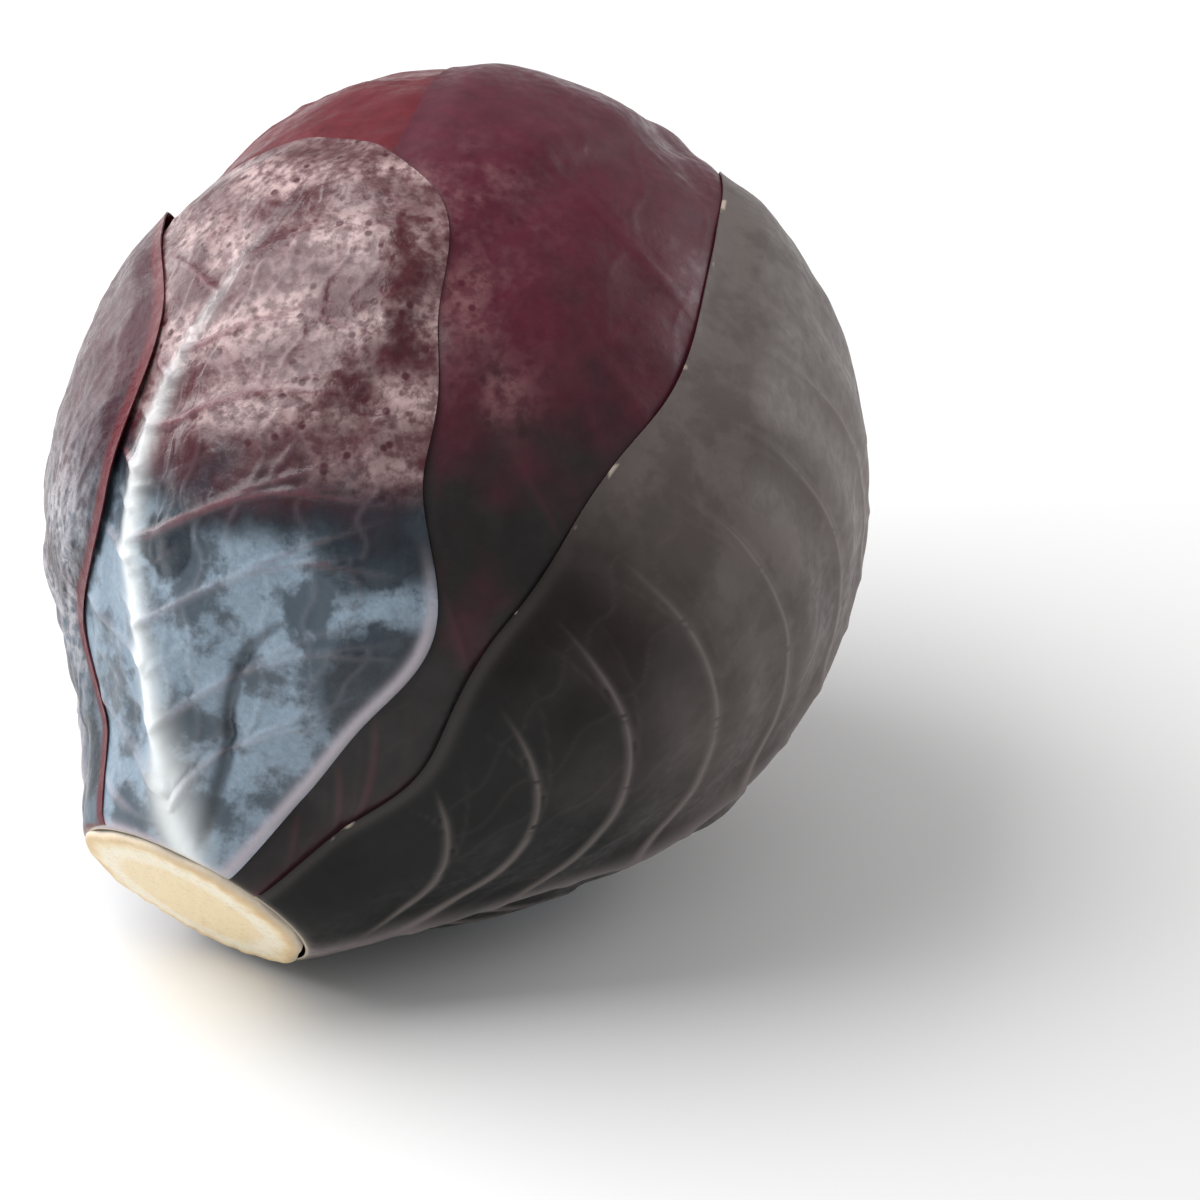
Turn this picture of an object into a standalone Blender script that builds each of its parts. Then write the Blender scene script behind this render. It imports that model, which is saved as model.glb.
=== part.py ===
"""A red cabbage head, as cut from its root, leaning over on a small flat spot.

The pieces are modelled in the head's own frame: its centre is the origin, its axis is Z, the cut stem
is at the bottom and the crown at the top. One empty then leans the head over and sets it on the surface.
Every leaf is a thin shell wrapped on the layers below it, so each is drawn as a height above a round body.
"""

import math

import bmesh
import bpy
import numpy as np
from mathutils import Matrix, Vector

# Driving sizes of the head, in metres and degrees.
BODY_RADIUS = 0.0728  # the packed heart, before any loose leaf
CROWN_RISE = 0.0030  # the body is that much longer towards the crown
NECK_RISE = 0.0340  # how far the body would rise towards the stem, were it not cut
NECK_SPREAD = 19.0  # how quickly that rise dies away from the stem
SWELL = 0.0006  # the body is a little out of round
SWELL_TURNS = (0.6, 2.1)  # in radians, where its two and its three swellings are
HOLLOW = 0.0018  # and less full on one side
HOLLOW_AZIMUTH = -112.0
SHOULDER = 0.0052  # and fuller on one shoulder of the crown
SHOULDER_ANGLE = 139.5  # from the stem
SHOULDER_AZIMUTH = -72.1
SHOULDER_POWER = 6
TUCK = 0.0048  # and drawn in beside the stem
TUCK_ANGLE = 30.0  # from the stem
TUCK_AZIMUTH = -110.0
TUCK_POWER = 14
STEM_FACE = 0.0970  # centre of the head to the cut face
STEM_SHIFT = 0.0055  # how far to one side the head has grown over its stem
STEM_RADIUS = 0.0235
STEM_DEPTH = 0.055  # how deep the stem runs into the heart
STEM_TAPER = 0.22
BASE_ANGLE = 14.8  # where the leaf bases stop, seen from the centre
BASE_WRAP = 60.0  # how far a leaf base wraps round the stem, to each side

# How the head stands: it leans over, and is pressed flat where it rests.
LEAN = 54.6
LEAN_TOWARDS = 55.0
SPIN = -149.7
SPOT_DEPTH = 0.0732  # from the head's centre down to the pressed spot of the body
SPOT_EASE = 0.0015
SPOT_BITE = 0.0005  # what the floor takes off the lowest leaf

# Leaf blades.
BLADE = 0.0013
EDGE_SHARE = 0.75  # thickness at the margin, as a share of the blade
CLEARANCE = 0.00085  # between one layer and the next
DRAPE = 0.012  # an upper leaf comes down over this length past a lower margin
OVERHANG = 0.004  # once it has passed it by this much
TENT = 0.009  # how far past a midrib the leaf over it stays up
LOOSE = 0.009  # the margin stands off over this width
MARGIN_LIFT = 0.0010
HELD_DOWN = 18.0  # degrees from the stem
RIB_HEIGHT = 0.0009
RIB_FREE_ANGLE = 22.0  # ribs are pressed flat nearer to the resting spot than this
MOST_CHORD_ROOM = 0.0005
MARGIN_WAVES = 9
MARGIN_WAVE = 0.7  # degrees

# Venation, in degrees and shares of the midrib.
FAN_SHARE = 0.32  # rows that leave the base of the midrib close together
FAN_LENGTH = 0.05
FAN_BEARING = 102.0
RIB_START_ANGLE = 34.0  # from the midrib, where the side ribs leave it
RIB_START_GAIN = 26.0  # and that much more in the middle of the leaf
RIB_BEND = 0.45

REACH_BEARINGS = np.arange(-150.0, 151.0, 30.0)

# Innermost first. Azimuth is round the axis and middle is from the stem; the eleven reaches go from the
# left flank over the tip to the right flank, every 30 degrees, all in degrees seen from the centre.
LEAVES = (
    ("inner_leaf_back", 120.0, 95.0, (80, 80, 80, 80, 83, 85, 82, 79, 80, 82, 82), 22, 10),
    ("inner_leaf_left", -102.0, 95.0, (80, 80, 80, 80, 84, 86, 84, 81, 80, 82, 82), 22, 10),
    ("inner_leaf_crown", 35.0, 95.0, (80, 76, 72, 71, 91, 98, 92, 82, 74, 66, 62), 21, 10),
    ("outer_leaf_back", 184.0, 85.0, (80, 80, 76, 66, 62, 66, 64, 60, 62, 66, 68), 20, 9),
    ("outer_leaf_front", -50.0, 70.0, (55, 48, 42, 42, 44, 47, 50, 45, 44, 55, 59), 17, 8),
    ("outer_leaf_right", 85.0, 88.0, (70, 68, 65, 66, 76, 80, 74, 64, 54, 46, 44), 20, 9),
    ("outer_leaf_left", -118.0, 75.0, (50, 46, 45, 42, 37, 34, 36, 48, 61, 59, 53), 17, 8),
)

MIDRIB_HEIGHT = 0.0030
MIDRIB_WIDTH = 0.0055
MIDRIB_BASE_SHARE = 0.4  # of that height, at the cut base
INNER_MIDRIB_SHARE = 0.4  # of that height, on the inner leaves

LEAF_COLOUR = (0.095, 0.030, 0.045, 1.0)
OUTER_COLOUR = (0.110, 0.085, 0.105, 1.0)
HEART_COLOUR = (0.160, 0.040, 0.100, 1.0)
STEM_COLOUR = (0.830, 0.690, 0.430, 1.0)


def direction(angle_from_stem, azimuth):
    """Unit vectors in the head's frame, from degrees."""
    angle, turn = np.broadcast_arrays(np.radians(angle_from_stem), np.radians(azimuth))
    return np.stack([np.sin(angle) * np.cos(turn), np.sin(angle) * np.sin(turn), -np.cos(angle)], axis=-1)


def smoothstep(x):
    x = np.clip(x, 0.0, 1.0)
    return x * x * (3.0 - 2.0 * x)


def curve_through(knots, values, at):
    """Cubic Hermite curve through the points, with tangents from their neighbours."""
    slopes = np.gradient(values, knots)
    i = np.clip(np.searchsorted(knots, at) - 1, 0, len(knots) - 2)
    width = knots[i + 1] - knots[i]
    t = np.clip((at - knots[i]) / width, 0.0, 1.0)
    rise = values[i + 1] - values[i]
    start, end = slopes[i] * width, slopes[i + 1] * width
    return values[i] + t * (start + t * (3 * rise - 2 * start - end + t * (start + end - 2 * rise)))


def lean_matrix():
    """Turns the head's frame into the world's, without its height above the surface."""
    return (
        Matrix.Rotation(math.radians(LEAN_TOWARDS), 4, "Z")
        @ Matrix.Rotation(math.radians(LEAN), 4, "Y")
        @ Matrix.Rotation(math.radians(SPIN), 4, "Z")
    )


DOWN = -np.array(lean_matrix())[2, :3]


def body_radius(way):
    """Distance from the centre to the surface of the packed body, flat where the head rests."""
    from_stem = np.degrees(np.arccos(np.clip(-way[..., 2], -1.0, 1.0)))
    turn = np.arctan2(way[..., 1], way[..., 0])
    flat_at_poles = np.sin(np.radians(from_stem)) ** 2
    radius = BODY_RADIUS + NECK_RISE * np.exp(-from_stem / NECK_SPREAD)
    radius = radius + CROWN_RISE * np.maximum(way[..., 2], 0.0) ** 2
    uneven = np.cos(2 * turn + SWELL_TURNS[0]) + np.cos(3 * turn + SWELL_TURNS[1])
    radius = radius + SWELL * flat_at_poles * uneven
    radius = radius - HOLLOW * np.maximum(way @ direction(90.0, HOLLOW_AZIMUTH), 0.0) ** 2
    shoulder = np.maximum(way @ direction(SHOULDER_ANGLE, SHOULDER_AZIMUTH), 0.0)
    radius = radius + SHOULDER * shoulder**SHOULDER_POWER
    tuck = np.maximum(way @ direction(TUCK_ANGLE, TUCK_AZIMUTH), 0.0)
    radius = radius - TUCK * tuck**TUCK_POWER
    facing = np.maximum(way @ DOWN, 1e-3)
    pressed = SPOT_DEPTH / facing
    return -SPOT_EASE * np.logaddexp(-radius / SPOT_EASE, -np.minimum(pressed, 1.0) / SPOT_EASE)


def grown(points):
    """The points moved to the side, the more the nearer they are to the cut face."""
    moved = np.array(points, dtype=float)
    moved[:, 1] -= STEM_SHIFT * (np.maximum(-moved[:, 2], 0.0) / STEM_FACE) ** 2
    return moved


class Leaf:
    """One leaf: an outline round a middle on the head, and the heights of its two faces."""

    def __init__(self, order, name, azimuth, middle, reach, rows, columns):
        self.order, self.name = order, name
        self.azimuth, self.middle = azimuth, middle
        self.rows, self.columns = rows, columns
        self.midrib_height = MIDRIB_HEIGHT * (INNER_MIDRIB_SHARE if name.startswith("inner") else 1.0)
        self.centre = direction(middle, azimuth)
        self.tipward = direction(middle + 90.0, azimuth)
        self.rightward = direction(90.0, azimuth + 90.0)
        self.below, self.above = [], []
        corner_reach, corner = self.polar(direction(BASE_ANGLE, azimuth + BASE_WRAP))
        self.corner = float(corner)
        self.knots = np.concatenate([[-self.corner], np.radians(REACH_BEARINGS), [self.corner]])
        self.reaches = np.concatenate([[corner_reach], np.radians(reach), [corner_reach]])

    def polar(self, way):
        """(angle from the middle, bearing from the tip) of directions, in radians."""
        span = np.arccos(np.clip(way @ self.centre, -1.0, 1.0))
        return span, np.arctan2(way @ self.rightward, way @ self.tipward)

    def place(self, span, bearing):
        """Directions at those angles from the middle and bearings."""
        side = np.cos(bearing)[..., None] * self.tipward + np.sin(bearing)[..., None] * self.rightward
        return np.cos(span)[..., None] * self.centre + np.sin(span)[..., None] * side

    def reach(self, bearing):
        """How far the margin is from the middle: flanks and tip on a curve, the base round the stem."""
        inside = np.clip(bearing, -self.corner, self.corner)
        flank = curve_through(self.knots, self.reaches, inside)
        room = smoothstep((self.corner - np.abs(inside)) / 0.5)
        flank = flank + room * np.radians(MARGIN_WAVE) * np.sin(MARGIN_WAVES * bearing + 2.0 * self.order)
        middle, stop = math.radians(self.middle), math.radians(BASE_ANGLE)
        across, along = math.cos(middle), -math.sin(middle) * np.cos(bearing)
        size = np.maximum(np.hypot(across, along), math.cos(stop))
        base = np.arctan2(along, across) - np.arccos(math.cos(stop) / size)
        return np.where(np.abs(bearing) > self.corner, base, flank)

    def inset(self, way):
        """Metres inside the margin, and less than nothing outside it."""
        span, bearing = self.polar(way)
        return BODY_RADIUS * (self.reach(bearing) - span)

    def midrib(self, way, spread=0.0, power=2):
        """Height of the midrib, from its thick base to its fine tip."""
        span, bearing = self.polar(way)
        along = span * np.cos(bearing)
        across = BODY_RADIUS * np.sin(span) * np.sin(bearing)
        base, tip = -float(self.reach(np.array(math.pi))), float(self.reach(np.array(0.0)))
        share = np.clip((along - base) / (tip - base), 0.0, 1.0)
        start = MIDRIB_BASE_SHARE + (1.0 - MIDRIB_BASE_SHARE) * smoothstep(share / 0.15)
        height = self.midrib_height * start * (1.0 - share) ** 1.5
        width = MIDRIB_WIDTH * (1.0 - 0.6 * share) + spread
        return height * np.exp(-((across / width) ** power))

    def loosening(self, way):
        """1 at the margin and outside it, 0 well inside, where the leaf is pressed down."""
        return 1.0 - smoothstep(self.inset(way) / LOOSE)

    def uncovered(self, way):
        """1 where no leaf lies on this one, 0 well under one."""
        free = np.ones(way.shape[:-1])
        for leaf in self.above:
            free = free * leaf.loosening(way)
        return free

    def lift(self, way):
        """How far the margin stands off what is below it; the base is held down at the stem."""
        from_stem = np.degrees(np.arccos(np.clip(-way[..., 2], -1.0, 1.0)))
        free = smoothstep((from_stem - BASE_ANGLE) / HELD_DOWN - 0.3)
        return MARGIN_LIFT * free * self.loosening(way) * self.uncovered(way)

    def step(self, way):
        """What this leaf adds to the height of those that lie on it, draped past its margin."""
        height = BLADE + CLEARANCE + self.midrib(way, TENT, 4) + self.lift(way)
        return height * smoothstep((self.inset(way) + OVERHANG) / DRAPE + 1.0)

    def inner_radius(self, way):
        """Distance from the centre to the leaf's inner face."""
        radius = body_radius(way) + CLEARANCE + self.lift(way)
        for leaf in self.below:
            radius = radius + leaf.step(way)
        return radius

    def rows_and_ribs(self):
        """Directions on a grid whose rows follow the side veins, with each point's rib height."""
        base, tip = -float(self.reach(np.array(math.pi))), float(self.reach(np.array(0.0)))
        ways, ribs = [], []
        for row in range(self.rows):
            v = row / self.rows
            along = max(0.0, (v - FAN_SHARE) / (1.0 - FAN_SHARE))
            opening = 1.0 - min(1.0, v / FAN_SHARE)
            share = FAN_LENGTH * (1.0 - opening) + (1.0 - FAN_LENGTH) * along
            start = np.array([base + (tip - base) * share, 0.0])
            bearing = FAN_BEARING * (1.0 - along)
            bearing = math.radians(bearing) + (self.corner - math.radians(FAN_BEARING)) * opening
            middling = math.sin(math.pi * min(1.0, along * 1.3))
            lead = math.radians(RIB_START_ANGLE + RIB_START_GAIN * middling)
            lead = lead + (0.5 * math.pi - lead) * opening**2
            line, heights = [], []
            for column in range(-self.columns, self.columns + 1):
                share = abs(column) / self.columns
                side = 1.0 if column > 0 else -1.0
                reach = float(self.reach(np.array(side * bearing)))
                end = reach * np.array([math.cos(bearing), side * math.sin(bearing)])
                bend = RIB_BEND * np.linalg.norm(end - start) * (1.0 - 0.6 * along)
                control = start + bend * np.array([math.cos(lead), side * math.sin(lead)])
                point = (1 - share) ** 2 * start + 2 * share * (1 - share) * control + share**2 * end
                line.append((np.hypot(*point), math.atan2(point[1], point[0])))
                heights.append(RIB_HEIGHT * (row % 2) * (1.0 - share**2) if column else 0.0)
            ways.append(line)
            ribs.append(heights)
        polar = np.array(ways)
        return self.place(polar[..., 0], polar[..., 1]), np.array(ribs)

    def chord_room(self, ways):
        """How far the flat cells round each point would cut into the round body below."""
        wide = 2 * self.columns + 1
        grid = BODY_RADIUS * ways[:-1].reshape(self.rows, wide, 3)
        across = np.linalg.norm(grid[1:, 1:] - grid[:-1, :-1], axis=2)
        back = np.linalg.norm(grid[1:, :-1] - grid[:-1, 1:], axis=2)
        sag = np.minimum(across, back) ** 2 / (8.0 * BODY_RADIUS)
        room = np.zeros((self.rows, wide))
        for rows in (slice(0, -1), slice(1, None)):
            for columns in (slice(0, -1), slice(1, None)):
                room[rows, columns] = np.maximum(room[rows, columns], sag)
        return np.append(np.minimum(room.ravel(), MOST_CHORD_ROOM), 0.0)

    def face_points(self):
        """(outer points, inner points) in rows, each with the leaf's tip as its last point."""
        ways, ribs = self.rows_and_ribs()
        tip = self.place(np.array(self.reach(np.array(0.0))), np.array(0.0))
        ways = np.concatenate([ways.reshape(-1, 3), tip.reshape(1, 3)])
        ribs = np.append(ribs.ravel(), 0.0)
        lowest = self.inner_radius(ways)
        edge = EDGE_SHARE + (1.0 - EDGE_SHARE) * smoothstep(self.inset(ways) / LOOSE)
        from_spot = np.degrees(np.arccos(np.clip(ways @ DOWN, -1.0, 1.0)))
        ribs = ribs * self.uncovered(ways) * smoothstep(from_spot / RIB_FREE_ANGLE - 0.5)
        outer = lowest + BLADE * edge + self.midrib(ways) + ribs
        inner = lowest + self.chord_room(ways)
        return grown(ways * outer[:, None]), grown(ways * inner[:, None])


def stacked_leaves():
    """Every leaf, innermost first, each knowing what lies below and above it."""
    leaves = [Leaf(order, *sizes) for order, sizes in enumerate(LEAVES)]
    for leaf in leaves:
        leaf.below = leaves[: leaf.order]
        leaf.above = leaves[leaf.order + 1 :]
    return leaves


def material(name, colour, roughness):
    made = bpy.data.materials.new(name)
    made.use_nodes = True
    shader = made.node_tree.nodes["Principled BSDF"]
    shader.inputs["Base Color"].default_value = colour
    shader.inputs["Roughness"].default_value = roughness
    shader.inputs["Metallic"].default_value = 0.0
    return made


def add_object(name, mesh, finish, parent):
    mesh.materials.append(finish)
    piece = bpy.data.objects.new(name, mesh)
    piece.parent = parent
    bpy.context.scene.collection.objects.link(piece)
    return piece


def mesh_of(name, form):
    """The mesh of a bmesh, smooth, with its faces turned outwards."""
    bmesh.ops.recalc_face_normals(form, faces=form.faces)
    mesh = bpy.data.meshes.new(name)
    form.to_mesh(mesh)
    form.free()
    mesh.shade_smooth()
    mesh.set_sharp_from_angle(angle=math.radians(50))
    return mesh


def leaf_mesh(leaf, outer, inner):
    """A closed shell: outer face, inner face and the rim between them."""
    form = bmesh.new()
    faces = [[form.verts.new(point) for point in points] for points in (outer, inner)]
    wide = 2 * leaf.columns + 1
    for verts in faces:
        for row in range(leaf.rows - 1):
            for column in range(wide - 1):
                a = row * wide + column
                form.faces.new([verts[k] for k in (a, a + 1, a + wide + 1, a + wide)])
        last = (leaf.rows - 1) * wide
        for column in range(wide - 1):
            form.faces.new([verts[last + column], verts[last + column + 1], verts[-1]])
    right = [row * wide + wide - 1 for row in range(1, leaf.rows)]
    left = [row * wide for row in range(leaf.rows - 1, 0, -1)]
    rim = list(range(wide)) + right + [leaf.rows * wide] + left
    for a, b in zip(rim, rim[1:] + rim[:1]):
        form.faces.new([faces[0][a], faces[0][b], faces[1][b], faces[1][a]])
    return mesh_of(leaf.name, form)


def ring_points(radius, height, sides):
    """Points round the head's axis."""
    around = direction(90.0, 360.0 * np.arange(sides) / sides) * radius
    return around + np.array([0.0, 0.0, height])


def turned_mesh(name, profile, sides):
    """A closed solid of revolution about the head's axis; the profile starts and ends on the axis."""
    form = bmesh.new()
    ends = grown([(0.0, 0.0, profile[0][1]), (0.0, 0.0, profile[-1][1])])
    first, last = [form.verts.new(point) for point in ends]
    rings = []
    for radius, height in profile[1:-1]:
        ring = grown(ring_points(radius, height, sides))
        rings.append([form.verts.new(point) for point in ring])
    for k in range(sides):
        after = (k + 1) % sides
        form.faces.new([first, rings[0][k], rings[0][after]])
        form.faces.new([last, rings[-1][k], rings[-1][after]])
        for low, high in zip(rings, rings[1:]):
            form.faces.new([low[k], low[after], high[after], high[k]])
    return mesh_of(name, form)


def stem_side(depth):
    """Radius of the stem at that depth below its cut face."""
    return STEM_RADIUS - STEM_TAPER * depth


def stem_mesh():
    """The cut stem: a slightly domed face with an eased rim, then a taper with a blunt end."""
    ease, dome = 0.0012, 0.0006
    profile = [(0.0, -STEM_FACE - dome), (0.55 * STEM_RADIUS, -STEM_FACE - 0.7 * dome)]
    profile += [(STEM_RADIUS - ease, -STEM_FACE), (STEM_RADIUS, -STEM_FACE + ease)]
    for depth in (0.012, 0.030, STEM_DEPTH - 0.006):
        profile.append((stem_side(depth), depth - STEM_FACE))
    profile.append((0.6 * stem_side(STEM_DEPTH), STEM_DEPTH - STEM_FACE - 0.001))
    profile.append((0.0, STEM_DEPTH - STEM_FACE))
    return turned_mesh("stem", profile, 32)


def heart_mesh():
    """The tightly packed inner leaves as one body, with the place that the stem fills."""
    sides, rings, room = 36, 20, 0.0006
    mouth_angle = BASE_ANGLE + 1.0
    form = bmesh.new()
    levels = []
    for ring in range(rings):
        angle = mouth_angle + (180.0 - mouth_angle) * ring / rings
        ways = direction(angle, 360.0 * np.arange(sides) / sides)
        levels.append([form.verts.new(point) for point in grown(ways * body_radius(ways)[:, None])])
    crown_way = direction(180.0, 0.0)
    crown = form.verts.new(crown_way * float(body_radius(crown_way)))
    mouth_depth = STEM_FACE + min(vert.co.z for vert in levels[0])
    socket = []
    for depth in (mouth_depth + 0.002, STEM_DEPTH - 0.006, STEM_DEPTH + room):
        ring = grown(ring_points(stem_side(depth) + room, depth - STEM_FACE, sides))
        socket.append([form.verts.new(point) for point in ring])
    seat = form.verts.new(grown([(0.0, 0.0, STEM_DEPTH - STEM_FACE + room)])[0])
    for k in range(sides):
        after = (k + 1) % sides
        form.faces.new([crown, levels[-1][k], levels[-1][after]])
        form.faces.new([seat, socket[-1][k], socket[-1][after]])
        for low, high in zip(levels, levels[1:]):
            form.faces.new([low[k], low[after], high[after], high[k]])
        for low, high in zip([levels[0]] + socket, socket):
            form.faces.new([low[k], low[after], high[after], high[k]])
    return mesh_of("heart", form)


def clear_scene():
    for piece in list(bpy.data.objects):
        bpy.data.objects.remove(piece, do_unlink=True)


def main():
    clear_scene()
    shells = [(leaf, *leaf.face_points()) for leaf in stacked_leaves()]
    floor = max(float((outer @ DOWN).max()) for _, outer, _ in shells) - SPOT_BITE
    for _, outer, _ in shells:
        outer -= np.maximum(outer @ DOWN - floor, 0.0)[:, None] * DOWN
    resting = np.concatenate([outer[outer @ DOWN > floor - 1e-7] for _, outer, _ in shells])
    spot = lean_matrix() @ Vector(resting.mean(axis=0))

    head = bpy.data.objects.new("head", None)
    bpy.context.scene.collection.objects.link(head)
    head.matrix_world = Matrix.Translation(-spot) @ lean_matrix()

    inner_finish = material("inner_leaf", LEAF_COLOUR, 0.42)
    outer_finish = material("outer_leaf", OUTER_COLOUR, 0.50)
    for leaf, outer, inner in shells:
        finish = outer_finish if leaf.name.startswith("outer") else inner_finish
        add_object(leaf.name, leaf_mesh(leaf, outer, inner), finish, head)
    add_object("heart", heart_mesh(), material("heart", HEART_COLOUR, 0.5), head)
    add_object("stem", stem_mesh(), material("cut_stem", STEM_COLOUR, 0.55), head)


main()
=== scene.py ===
"""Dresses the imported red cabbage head: waxy, ribbed leaves wrapped over each other, and the cut stem.

The leaves are drawn in the head's own frame, whose origin is the middle of the head and whose axis runs
from the cut stem, below, to the crown. Each leaf is a thin shell whose height above the round heart adds up
from the leaves under it, so that an upper leaf drapes over the margins and midribs of those below.
"""

from __future__ import annotations

import logging
import math
from dataclasses import dataclass, field
from enum import Enum

import bpy
import numpy as np
from mathutils import Matrix, Vector

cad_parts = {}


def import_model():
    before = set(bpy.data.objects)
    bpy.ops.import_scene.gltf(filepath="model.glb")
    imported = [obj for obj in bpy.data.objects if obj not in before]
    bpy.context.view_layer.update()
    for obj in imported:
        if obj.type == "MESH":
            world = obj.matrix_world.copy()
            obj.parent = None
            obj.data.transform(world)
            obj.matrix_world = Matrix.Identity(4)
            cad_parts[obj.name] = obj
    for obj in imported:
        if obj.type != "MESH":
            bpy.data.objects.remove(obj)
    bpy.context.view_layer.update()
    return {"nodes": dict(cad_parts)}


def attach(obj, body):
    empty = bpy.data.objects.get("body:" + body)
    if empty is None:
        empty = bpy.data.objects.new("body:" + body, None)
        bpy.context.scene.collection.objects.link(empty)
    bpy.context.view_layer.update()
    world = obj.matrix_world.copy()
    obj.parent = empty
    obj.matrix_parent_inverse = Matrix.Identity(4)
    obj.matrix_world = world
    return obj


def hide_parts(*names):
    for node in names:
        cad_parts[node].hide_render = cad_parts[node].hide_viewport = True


logging.basicConfig(level=logging.INFO, format="%(message)s")
LOG = logging.getLogger("red_cabbage")

Array = np.ndarray
Colour = tuple[float, float, float, float]
Path = tuple[np.ndarray, np.ndarray, np.ndarray]

BODY = "root"
CURL_SEED = 70
RIPPLE_SEED = 20
VEIN_SEED = 300
MM = 0.001

CUT_LEAF: Colour = (0.700, 0.600, 0.480, 1.0)
# Near black for the leaf bases low in the head: painted shade, where little light reaches.
PAINTED_SHADE_BLACK: Colour = (0.014, 0.012, 0.012, 1.0)
CROWN_RED: Colour = (0.078, 0.008, 0.021, 1.0)
CROWN_VEIN: Colour = (0.150, 0.040, 0.060, 1.0)
BRIGHT_RED: Colour = (0.112, 0.006, 0.014, 1.0)
RED_VEIN: Colour = (0.180, 0.050, 0.070, 1.0)
BURGUNDY: Colour = (0.085, 0.008, 0.016, 1.0)
DARK_TEAL: Colour = (0.012, 0.018, 0.026, 1.0)
PALE_VIOLET: Colour = (0.480, 0.430, 0.480, 1.0)
DULL_PINK: Colour = (0.200, 0.110, 0.130, 1.0)
BLUE_BLOOM: Colour = (0.260, 0.340, 0.420, 1.0)
# Grey bloom; where it lies thick, as on the right leaf, it is mostly painted sheen: the grey reflection of
# the light from the right.
GREY_BLOOM_AND_SHEEN: Colour = (0.235, 0.200, 0.188, 1.0)
WHITE: Colour = (1.0, 1.0, 1.0, 1.0)


class Slot(Enum):
    """The pieces' material slots."""

    INNER_LEAF = "inner_leaf"
    OUTER_LEAF = "outer_leaf"
    HEART = "heart"
    CUT_STEM = "cut_stem"


def direction(angle_from_stem: Array | float, azimuth: Array | float) -> Array:
    """Unit vectors in the head's frame.

    Args:
        angle_from_stem: Degrees from the cut stem, seen from the middle of the head.
        azimuth: Degrees round the head's axis.

    Returns:
        The vectors, in the last axis.
    """
    angle, turn = np.broadcast_arrays(np.radians(angle_from_stem), np.radians(azimuth))
    return np.stack([np.sin(angle) * np.cos(turn), np.sin(angle) * np.sin(turn), -np.cos(angle)], axis=-1)


def smoothstep(x: Array) -> Array:
    """0 below 0, 1 above 1, and a smooth rise between."""
    x = np.clip(x, 0.0, 1.0)
    return x * x * (3.0 - 2.0 * x)


def curve_through(knots: Array, values: Array, at: Array) -> Array:
    """Cubic Hermite curve through points, with tangents from their neighbours.

    Args:
        knots: Where the points are, rising.
        values: The value at each of them.
        at: Where the curve is read.

    Returns:
        The curve's values there.
    """
    slopes = np.gradient(values, knots)
    i = np.clip(np.searchsorted(knots, at) - 1, 0, len(knots) - 2)
    width = knots[i + 1] - knots[i]
    t = np.clip((at - knots[i]) / width, 0.0, 1.0)
    rise = values[i + 1] - values[i]
    start, end = slopes[i] * width, slopes[i + 1] * width
    return values[i] + t * (start + t * (3 * rise - 2 * start - end + t * (start + end - 2 * rise)))


@dataclass(frozen=True)
class Ripples:
    """A smooth, seeded unevenness over the head, from -1 to 1 or so."""

    seed: int
    wavelength: float
    waves: int = 14

    def at(self, points: Array) -> Array:
        """The unevenness at points in metres.

        Args:
            points: Points in metres.

        Returns:
            Heights about 0, about 1 high.
        """
        draw = np.random.default_rng(self.seed)
        turns = draw.normal(size=(self.waves, 3))
        turns *= draw.uniform(0.7, 1.5, (self.waves, 1)) / np.linalg.norm(turns, axis=1, keepdims=True)
        phases = draw.uniform(0.0, 2.0 * math.pi, self.waves)
        waves = np.sin(points @ turns.T * (2.0 * math.pi / self.wavelength) + phases)
        return waves.sum(axis=-1) / math.sqrt(self.waves)


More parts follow.
